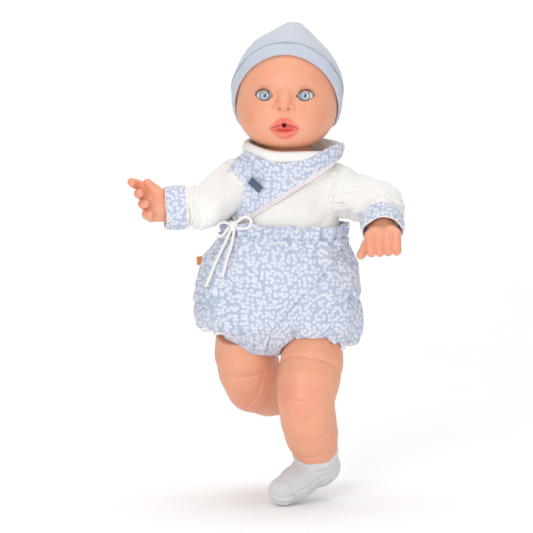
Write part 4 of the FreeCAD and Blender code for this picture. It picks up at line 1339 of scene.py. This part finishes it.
class DollHands(bpy.types.Operator):
    """Soft vinyl forearms and hands with curled fingers."""
    bl_idname = "doll.hands"
    bl_label = "Hands"

    def execute(self, context):
        for side in SIDES:
            shoulder, elbow, wrist = arm_points(side)
            way, across, palm = hand_axes(side)
            tip = np.array(wrist) + way * 44
            box = around_box(spots(elbow, wrist) + [tip], 26)
            vinyl = finish_named(context, "limb_vinyl")
            hand, points, faces = sculpt("hand_" + side, hand_field(side), box, 0.9, vinyl, ROOM)
            reach = (points - np.array(wrist)) @ way
            paint(hand, "blush", 0.35 * np.clip((reach - 14) / 22, 0, 1))
            settle_in(hand, "forearm_" + side, "skin_vinyl", "forearm_" + side)
        return {"FINISHED"}


# ---- bloomers ----
def hem_level(side, around):
    """Height of a leg opening's frilled edge, by the angle round its own hip."""
    return HEM[side] + 1.6 * np.sin(around * 2 + 1) + 1.7 * np.sin(around * 9 + 1.5 * np.sin(around * 2))


def hip_angle(side, points):
    return np.arctan2(points[:, 1] + 6, points[:, 0] - SIDES[side] * PUFF_ASIDE)


def leg_room(side, points):
    """Room for a thigh inside the bloomers, in the trunk's frame."""
    thigh = np.array([(0, 0, -10), (0, 0, -42), (0, 0, -66)], float)
    top, middle, end = moved_to(TRUNK.inverted() @ thigh_place(side), thigh)
    leg = join(bar(points, top, middle, 22, 30), bar(points, middle, end, 30, 30), 5)
    return np.maximum(leg - 2.0, points[:, 2] + 6)


def puff_shape(side, points):
    """The outer shape of one gathered leg, before it is hollowed."""
    around = hip_angle(side, points)
    above = points[:, 2] - HEM[side]
    result = length(points - np.array((SIDES[side] * 39.0, 0, 3))) - PUFF_RADIUS - 1.0
    result += 4.5 * np.exp(-(above / 11) ** 2)
    frill = np.exp(-(np.clip(above, 0, 60) / 9) ** 2)
    result -= (2.2 + 2.2 * frill) * frill * np.sin(around * 15 + 1.6 * np.sin(around * 3 + SIDES[side]))
    result -= 1.7 * ripples(points * np.array((1, 1, 0.5)), (46, 31, 22), 31 + SIDES[side])
    return folded_front(result, points)


def folded_front(field, points):
    """The front with its folds: a furrow each, and a soft ridge beside it."""
    front = np.clip(-points[:, 1] / 12, 0, 1)
    for start, end in FOLDS:
        field = field + 2.8 * front * crease(points, start, end, 2.4)
        ridge_start, ridge_end = (start[0] + 4, start[1] + 2), (end[0] + 4, end[1] + 2)
        field -= 1.7 * front * crease(points, ridge_start, ridge_end, 3.2)
    return field


def puff_field(side):
    """One gathered leg of the bloomers, hollow at its frilled hem."""
    def field(points):
        level = hem_level(side, hip_angle(side, points))
        result = keep(puff_shape(side, points), level - points[:, 2], 1.2)
        return carve(result, leg_room(side, points), 1.2)

    return field


def seat_field_filled(points):
    """Waist, seat and the pointed front panel, which laps over the right leg."""
    lean = np.interp(points[:, 2], (-32, 14), (-12, 0))
    moved = points - np.column_stack((lean, 0 * lean, 0 * lean))
    around = np.arctan2(points[:, 1], points[:, 0])
    field = torso(moved, SEAT, 0.8)
    waist = np.exp(-((points[:, 2] - 90) / 20) ** 2)
    uneven = 1.5 * ripples(points, (44, 30), 9)
    field -= 2.2 * waist * np.sin(around * 23 + uneven)
    field -= 1.4 * ripples(points * np.array((1, 1, 0.5)), (50, 34, 24), 77)
    field = folded_front(field, points)
    both = np.minimum(puff_shape("left", points), puff_shape("right", points))
    panel = join(field, both, 10) - 2.8
    panel = keep(panel, np.interp(points[:, 0], *PANEL_EDGE) - points[:, 2], 0.7)
    panel = keep(panel, points[:, 1] + 4, 2)
    field = np.minimum(field, panel)
    return keep(field, -33 - points[:, 2], 2)


def seat_field(points):
    """The seat with room for the thighs."""
    field = seat_field_filled(points)
    for side in SIDES:
        field = carve(field, leg_room(side, points), 1.2)
    return keep(field, points[:, 2] - 88, 2)


class DollBloomers(bpy.types.Operator):
    """Printed bloomers: seat and front panel, two gathered legs, the waist frill and hem edging."""
    bl_idname = "doll.bloomers"
    bl_label = "Bloomers"

    def execute(self, context):
        cotton = finish_named(context, "flower_cotton")
        box = (-92, -66, -36), (92, 62, 92)
        seat, points, faces = sculpt("bloomers_seat_print", seat_field, box, 1.3, cotton, TRUNK)
        self.wrap_print(seat, points, faces, 0.0, 56.0)
        settle_in(seat, "trunk", "floral_cotton", "bloomers_seat")
        for side in SIDES:
            ends = sorted((SIDES[side] * -12, SIDES[side] * 94))
            box = (ends[0], -56, HEM[side] - 8), (ends[1], 56, 54)
            puff, points, faces = sculpt("bloomers_" + side, puff_field(side), box, 1.2, cotton, TRUNK)
            self.wrap_print(puff, points, faces, SIDES[side] * PUFF_ASIDE, 44.0)
            self.follow(puff, side)
            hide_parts("bloomers_leg_" + side)
            self.hem(context, side)
        self.frill(context, cotton)
        return {"FINISHED"}

    def wrap_print(self, piece, points, faces, aside, radius):
        """Lays the print round a piece as round a drum of this radius."""
        turn = np.arctan2(points[:, 0] - aside, -points[:, 1])
        lay_print(piece, faces, turn * radius, points[:, 2], 2 * math.pi * radius)

    def follow(self, piece, side):
        """Bakes the piece's placement into its mesh."""
        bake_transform(piece)

    def hem(self, context, side):
        """The pale binding round the leg opening, laid where the printed cloth ends."""
        turns = np.linspace(0, 2 * math.pi, 110, endpoint=False)
        ways = np.column_stack((np.cos(turns), np.sin(turns), 0 * turns))
        middle = SIDES[side] * PUFF_ASIDE
        starts = np.column_stack((0 * turns + middle, 0 * turns - 6, hem_level(side, turns) + 1.2))
        edge = outside_of(lambda points: puff_shape(side, points) + 0.8, starts, ways)
        route = [TRUNK @ Vector(spot) for spot in edge]
        piping = finish_named(context, "piping_cotton")
        edging = thread("hem_edging_" + side, route, 1.1, piping, closed=True)
        self.follow(edging, side)

    def frill(self, context, cotton):
        """The gathered frill above the waist."""
        def shape(turn, row):
            flare = 1.8 * row + 1.6 * math.sin(math.pi * row)
            gathers = np.sin(turn * 23 + 1.3 * np.sin(turn * 3)) + 0.6 * np.sin(turn * 37 + 1)
            wave = (0.9 + 2.6 * row) * gathers
            wide = 59.5 + flare + wave * 0.8
            deep = 45.5 + flare + wave * 0.8
            top = 84 + 17.5 * row + (0.9 * np.sin(turn * 11) + 0.9 * np.sin(turn * 17 + 1)) * row
            return np.column_stack((wide * np.cos(turn), deep * np.sin(turn), top))

        points, faces, around = ring_net(np.linspace(0, 1, 12), 420, shape)
        frill = new_piece("waist_frill", points, faces, cotton, TRUNK)
        lay_print(frill, faces, around * 60, points[:, 2], 2 * math.pi * 60)
        thicken(frill, 1.0)
        settle_in(frill, "trunk", "floral_cotton")


# ---- legs ----
def shin_and_foot(side):
    """Along the shin and along the foot, in the thigh's frame."""
    knee = math.radians(KNEE_BEND)
    lift = math.radians(ANKLE_LIFT)
    shin = Vector((0, math.sin(knee), -math.cos(knee)))
    square = Vector((0, -math.cos(knee), -math.sin(knee)))
    foot = square * math.cos(lift) - shin * math.sin(lift)
    foot = Matrix.Rotation(math.radians(SIDES[side] * TOE_IN), 3, shin) @ foot
    return spots(shin, foot)


def leg_route(side):
    """Points along the leg for its rounded bars, the knee and ankle, and the ways of shin and foot."""
    shin, foot = shin_and_foot(side)
    knee = np.array((0, 0, -THIGH_LENGTH))
    ankle = knee + shin * SHIN_LENGTH
    thigh = spots((0, 0, -14.5), (0, 0, -24), (0, 0, -42), (0, 0, -64))
    lower = [knee + np.array((0, 2, 3)), *(knee + shin * along for along in (22, 42, 60)), ankle + shin * 4]
    return thigh + lower, knee, ankle, shin, foot


def leg_field(side):
    route, knee, ankle, shin, foot = leg_route(side)

    def field(points):
        result = chain(points, route[1:], LEG_RADII[1:], 7)
        fore = (points - knee) @ shin
        front = np.clip(-points[:, 1] / 14, 0, 1)
        result -= 1.4 * bump(points, (0, -14, -THIGH_LENGTH + 2), (15, 10, 12))
        for along, depth, tilt in ((7.0, 1.3, 0.10), (-15.0, 0.9, -0.12)):
            line = fore - along + tilt * points[:, 0] + 0.012 * points[:, 0] ** 2
            result += depth * np.exp(-(line / 1.5) ** 2) * front
        for along, depth in ((30.0, 0.5), (52.0, 1.1)):
            line = fore - along + 0.08 * points[:, 0]
            result += depth * np.exp(-(line / 1.7) ** 2)
        fold = np.exp(-((points[:, 2] + 50) / 2.0) ** 2) * (points[:, 2] > -60)
        result += 1.3 * fold * np.clip(front, 0.2, 1)
        for dimple in (-7, 7):
            result += 0.9 * bump(points, (dimple, -24, -THIGH_LENGTH + 10), (3, 6, 3))
        result -= 0.4 * ripples(points, (48, 35), 40)
        return keep(result, points[:, 2] + 14.5, 1.5)

    return field


def foot_field(side, grow):
    """Heel and toes as rounded bars in the thigh's frame, blended into one foot."""
    route, knee, ankle, shin, foot = leg_route(side)
    heel = ankle - foot * (HEEL_REACH - 6) + shin * 8.1
    ball = ankle + foot * (FOOT_REACH * 0.62) + shin * 9.45
    toes = ankle + foot * FOOT_REACH + shin * 10.35

    def field(points):
        result = bar(points, ankle, heel, 17.5 + grow, 16 + grow)
        result = join(result, bar(points, ankle, ball, 16.8 + grow, 15 + grow), 4)
        result = join(result, bar(points, heel, ball, 15.5 + grow, 14.9 + grow), 4)
        return join(result, bar(points, ball, toes, 15 + grow, 13.5 + grow), 4)

    return field


def sock_field(side):
    """The knitted sock, with creases over the instep and a seam at the toes."""
    route, knee, ankle, shin, foot = leg_route(side)
    bare = foot_field(side, 1.2)
    side_way = np.cross(shin, foot)

    def field(points):
        result = join(bare(points), bar(points, ankle - shin * 8, ankle + shin * 6, 20.6, 19.4), 5)
        along = (points - ankle) @ shin
        ahead = (points - ankle) @ foot
        aside = (points - ankle) @ side_way
        bend = np.exp(-((along - 2) / 9) ** 2) * np.clip(ahead / 10, 0, 1)
        result -= 1.1 * bend * np.sin(along * 1.0 + 0.25 * aside)
        result -= 0.8 * ripples(points, (22, 16, 30), 55) * np.exp(-((ahead - 12) / 30) ** 2)
        result += 0.9 * np.exp(-((ahead - FOOT_REACH + 3 - 0.15 * along) / 1.0) ** 2)
        result -= 0.12 * np.sin(np.arctan2(aside, ahead) * 40)
        return keep(result, -along - 11, 2)

    return field


def sock_cuff_field(side):
    """The sock's turned cuff: a soft uneven ring round the ankle."""
    route, knee, ankle, shin, foot = leg_route(side)
    side_way = np.cross(shin, foot)

    def field(points):
        along = (points - ankle) @ shin
        away = points - ankle - along[:, None] * shin
        turn = np.arctan2(away @ side_way, away @ foot)
        radius = length(away)
        level = along + 10.0 + 1.4 * np.sin(turn * 2 + 0.6) + 0.7 * np.sin(turn * 5)
        roll = 2.6 * np.sqrt(np.clip(1 - (level / 5.6) ** 2, 0, 1)) - 0.4
        ribs = 0.14 * np.sin(turn * 46)
        wave = 0.35 * np.sin(turn * 7 + 1)
        return np.maximum(np.abs(radius - 21.0 - wave) - roll - ribs, np.abs(level) - 5.6)

    return field


class DollLegs(bpy.types.Operator):
    """Vinyl legs with their knee creases, and knitted socks with a turned cuff."""
    bl_idname = "doll.legs"
    bl_label = "Legs and socks"

    def execute(self, context):
        for side in SIDES:
            place = thigh_place(side)
            route, knee, ankle, shin, foot = leg_route(side)
            vinyl, knit = finish_named(context, "limb_vinyl"), finish_named(context, "sock_knit")
            body = "leg_" + side
            box = around_box(route, 33)
            leg, points, faces = sculpt(body + "_vinyl", leg_field(side), box, 1.3, vinyl, place)
            paint(leg, "blush", 0.4 * bump(points, (0, -22, -THIGH_LENGTH), (22, 16, 20)))
            settle_in(leg, body, "skin_vinyl", body)
            box = around_box([ankle, ankle + foot * FOOT_REACH, ankle + shin * 10], 26)
            sock = sculpt("sock_" + side + "_knit", sock_field(side), box, 1.1, knit, place)[0]
            settle_in(sock, body, "sock_knit", "sock_" + side)
            box = around_box([ankle - shin * 10], 32)
            cuff = sculpt("sock_cuff_" + side, sock_cuff_field(side), box, 0.9, knit, place)[0]
            settle_in(cuff, body, "sock_knit")
        return {"FINISHED"}


# ---- tie, tape and tab ----
class DollTie(bpy.types.Operator):
    """The bow tied at the right of the waist."""
    bl_idname = "doll.tie"
    bl_label = "Tie"

    def execute(self, context):
        white = finish_named(context, "tie_cotton")
        for name, route in TIE_ROUTES.items():
            curve = bpy.data.curves.new(name + "_cord", "CURVE")
            curve.dimensions = "3D"
            spline = curve.splines.new("NURBS")
            spline.points.add(len(route) - 1)
            for knot, step in zip(spline.points, route):
                knot.co = (*(TRUNK @ Vector(np.add(KNOT, step)) * MM), 1)
            spline.order_u = 3
            spline.use_endpoint_u = True
            spline.resolution_u = 10
            curve.bevel_depth = sizes_of(context).cord / 2
            curve.bevel_resolution = 3
            curve.use_fill_caps = True
            cord = bpy.data.objects.new(name + "_cord", curve)
            context.scene.collection.objects.link(cord)
            curve.materials.append(white)
            settle_in(cord, "trunk", "white_cord", name)
        self.knot(white)
        return {"FINISHED"}

    def knot(self, white):
        """The small wrapped knot of the bow."""
        centre = np.array(KNOT, float)

        def field(points):
            steps = points - centre
            wrap = np.sin(steps[:, 0] * 1.6 + steps[:, 2] * 0.9)
            return ellipsoid(points, KNOT, (5, 3.6, 5)) - 0.45 * wrap

        knot = sculpt("tie_knot_wrapped", field, (centre - 7, centre + 7), 0.6, white, TRUNK)[0]
        settle_in(knot, "trunk", "white_cord", "tie_knot")


class DollLabels(bpy.types.Operator):
    """The folded orange tape on the hip and the blue tab at the neck."""
    bl_idname = "doll.labels"
    bl_label = "Tape and tab"

    def execute(self, context):
        orange, navy = finish_named(context, "orange_tape"), finish_named(context, "navy_tape")
        tape = self.folded("hip_tape", "side_label", (8.0, 8.4, 2.2), orange, 0, -8)
        settle_in(tape, "trunk", "orange_tape", "side_label")
        tab = self.folded("neck_tab_folded", "neck_tab", (15.5, 7.6, 1.6), navy, -38, 32)
        settle_in(tab, "trunk", "dark_blue_tape", "neck_tab")
        return {"FINISHED"}

    def folded(self, name, node, size, material, swivel, tilt):
        """A short tape folded over itself, with a stitched line across it, turned by two angles."""
        low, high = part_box(node)
        bpy.ops.object.select_all(action="DESELECT")
        bpy.ops.mesh.primitive_cube_add(size=1)
        tape = bpy.context.view_layer.objects.active
        tape.name = name
        tape.data.name = name
        bpy.ops.object.mode_set(mode="EDIT")
        bpy.ops.mesh.select_all(action="SELECT")
        bpy.ops.mesh.subdivide(number_cuts=5)
        bpy.ops.object.mode_set(mode="OBJECT")
        for vertex in tape.data.vertices:
            x, y, z = vertex.co
            curl = 0.35 * math.sin(x * 3.0) + 0.2 * math.sin(z * 5.0)
            pinch = 1 - 0.45 * math.exp(-((z - 0.3) / 0.08) ** 2)
            vertex.co = (x * size[0], y * size[2] * pinch + curl, z * size[1])
        rounding = tape.modifiers.new("rounding", "BEVEL")
        rounding.width = 0.35
        rounding.segments = 2
        bpy.ops.object.modifier_apply(modifier=rounding.name)
        turn = Matrix.Rotation(math.radians(swivel), 4, "Z") @ Matrix.Rotation(math.radians(tilt), 4, "Y")
        middle = Matrix.Translation((low + high) / 2)
        tape.data.transform(middle @ Matrix.Scale(MM, 4) @ TRUNK.to_3x3().to_4x4() @ turn)
        tape.data.polygons.foreach_set("use_smooth", [True] * len(tape.data.polygons))
        tape.data.materials.append(material)
        return tape


# ---- what stays from the frame ----
# Each plain finish: its colour, its roughness and how metallic it is.
INNER_FINISHES = {
    "module_plastic": ((0.62, 0.63, 0.66), 0.5, 0.0), "black_plastic": ((0.02, 0.02, 0.022), 0.42, 0.0),
    "button_plastic": ((0.72, 0.16, 0.13), 0.4, 0.0), "battery_wrap": ((0.05, 0.18, 0.12), 0.35, 0.1),
    "board_green": ((0.02, 0.16, 0.06), 0.4, 0.0), "steel": ((0.55, 0.56, 0.58), 0.3, 1.0),
    # The nearly black finish below stands in for the shade inside the mouth hole: painted shade.
    "tie_nylon": ((0.86, 0.86, 0.84), 0.6, 0.0), "mouth_hole_shade": ((0.16, 0.02, 0.016), 0.5, 0.0),
    "skin_vinyl_lid": ((0.70, 0.38, 0.26), 0.5, 0.0),
}
INNER_CLOTHS = {"body_cloth": "body_cloth", "white_jersey": "white_jersey", "white_cord": "white_jersey",
                "floral_cotton": "white_jersey"}


class DollInside(bpy.types.Operator):
    """Finishes for the parts that stay as the frame made them."""
    bl_idname = "doll.inside"
    bl_label = "Inner parts"

    def execute(self, context):
        slots = {part["node"]: part["material_slot"] for part in frame["record"]["subparts"]}
        for node, obj in frame["nodes"].items():
            if obj.hide_render:
                continue
            # The socket and plunger seen through the mouth hole get a nearly black finish: painted shade.
            deep = node in ("mouth_socket", "mouth_plunger")
            material = self.finish(context, "mouth_hole_shade" if deep else slots[node])
            obj.data.materials.clear()
            obj.data.materials.append(material)
        return {"FINISHED"}

    def finish(self, context, slot):
        """The finish of a record's slot; what is neither plain nor cloth is vinyl."""
        if slot in INNER_FINISHES:
            name = "inner_" + slot
            if name not in bpy.data.materials:
                colour, roughness, metallic = INNER_FINISHES[slot]
                plain_material(name, (*colour, 1.0), roughness, metallic)
            return bpy.data.materials[name]
        return finish_named(context, INNER_CLOTHS.get(slot, "limb_vinyl"))


# ---- stage ----
class DollStage(bpy.types.Operator):
    """Pale floor and backdrop, soft lights and the camera."""
    bl_idname = "doll.stage"
    bl_label = "Stage"

    def execute(self, context):
        self.backdrop(context)
        self.lights(context)
        self.camera(context)
        return {"FINISHED"}

    def backdrop(self, context):
        """One sheet: floor in front, a wide curve, and the wall behind, clear when seen from behind."""
        bend, back = 0.6, 0.9
        outline = [(-3.0, 0.0), (back, 0.0)]
        for turn in np.linspace(0.1, math.pi / 2, 12):
            outline.append((back + bend * math.sin(turn), bend - bend * math.cos(turn)))
        outline.append((back + bend, 3.0))
        points = np.array([(x, y, z) for y, z in outline for x in (-4.0, 4.0)]) / MM
        steps = np.arange(len(outline) - 1) * 2
        faces = np.column_stack((steps, steps + 1, steps + 3, steps + 2))
        material, tree, shader = new_material("studio_floor", roughness=0.95)
        spread = ramp(tree, noise_of(tree, 3.0), 0.3, 0.7)
        floor = colours_of(context).floor
        colour = mix(tree, spread, tuple(floor), tinted(floor, 0.985))
        finish_surface(tree, shader, colour, noise_of(tree, 60.0), 0.02, 0.0005)
        away = put(tree, "ShaderNodeNewGeometry").outputs["Backfacing"]
        clear = put(tree, "ShaderNodeBsdfTransparent").outputs[0]
        sheet = put(tree, "ShaderNodeMixShader", away, shader.outputs[0], clear).outputs[0]
        tree.links.new(sheet, tree.nodes["Material Output"].inputs["Surface"])
        new_piece("studio_backdrop", points, faces, material, ROOM)

    def lights(self, context):
        world = bpy.data.worlds.new("studio_air")
        context.scene.world = world
        world.use_nodes = True
        air = world.node_tree.nodes["Background"]
        air.inputs["Color"].default_value = (1.0, 1.0, 1.0, 1.0)
        seen = put(world.node_tree, "ShaderNodeLightPath").outputs["Is Camera Ray"]
        strength = math_of(world.node_tree, "MULTIPLY_ADD", seen, 1.0 - AIR_STRENGTH, AIR_STRENGTH)
        feed(world.node_tree, air.inputs["Strength"], strength)
        for name, (spot, size, power, target) in LAMPS.items():
            self.lamp(context, name, spot, size, power, target)

    def lamp(self, context, name, spot, size, power, target):
        light = bpy.data.lights.new(name, "AREA")
        light.shape = "SQUARE"
        light.size = size
        light.energy = power
        lamp = bpy.data.objects.new(name, light)
        lamp.location = spot
        aim = Vector(target) - Vector(spot)
        lamp.rotation_euler = aim.to_track_quat("-Z", "Y").to_euler()
        context.scene.collection.objects.link(lamp)

    def camera(self, context):
        rise = math.radians(CAMERA_RISE)
        target = Vector(TRUNK.translation) * MM + Vector(CAMERA_TARGET)
        lens = bpy.data.cameras.new("camera")
        lens.lens = SENSOR_WIDTH * CAMERA_DISTANCE / VIEW_WIDTH
        camera = bpy.data.objects.new("camera", lens)
        camera.location = target + Vector((0, -math.cos(rise), math.sin(rise))) * CAMERA_DISTANCE
        camera.rotation_euler = (math.pi / 2 - rise, 0, 0)
        context.scene.collection.objects.link(camera)
        context.scene.camera = camera
        context.scene.view_settings.view_transform = "Standard"


class DollPanel(bpy.types.Panel):
    """Buttons and settings in the 3D view's sidebar."""
    bl_idname = "VIEW3D_PT_doll"
    bl_label = "Baby doll"
    bl_space_type = "VIEW_3D"
    bl_region_type = "UI"
    bl_category = "Doll"

    def draw(self, context):
        for piece in PIECES:
            self.layout.operator(piece.bl_idname)
        for group in (sizes_of(context), colours_of(context)):
            for name in group.__annotations__:
                self.layout.prop(group, name)


PIECES = (DollStage, DollTie, DollHead, DollEyes, DollHat, DollTop, DollSleeves, DollHands, DollBloomers,
          DollLegs, DollLabels, DollInside)
CLASSES = (DollColours, DollSizes, *PIECES, DollPanel)


def register():
    for kind in CLASSES:
        bpy.utils.register_class(kind)
    bpy.types.Scene.doll_colours = bpy.props.PointerProperty(type=DollColours)
    bpy.types.Scene.doll_sizes = bpy.props.PointerProperty(type=DollSizes)


def unregister():
    del bpy.types.Scene.doll_sizes
    del bpy.types.Scene.doll_colours
    for kind in reversed(CLASSES):
        bpy.utils.unregister_class(kind)


def main():
    register()
    for piece in PIECES:
        group, name = piece.bl_idname.split(".")
        getattr(getattr(bpy.ops, group), name)()


if __name__ == "__main__":
    main()
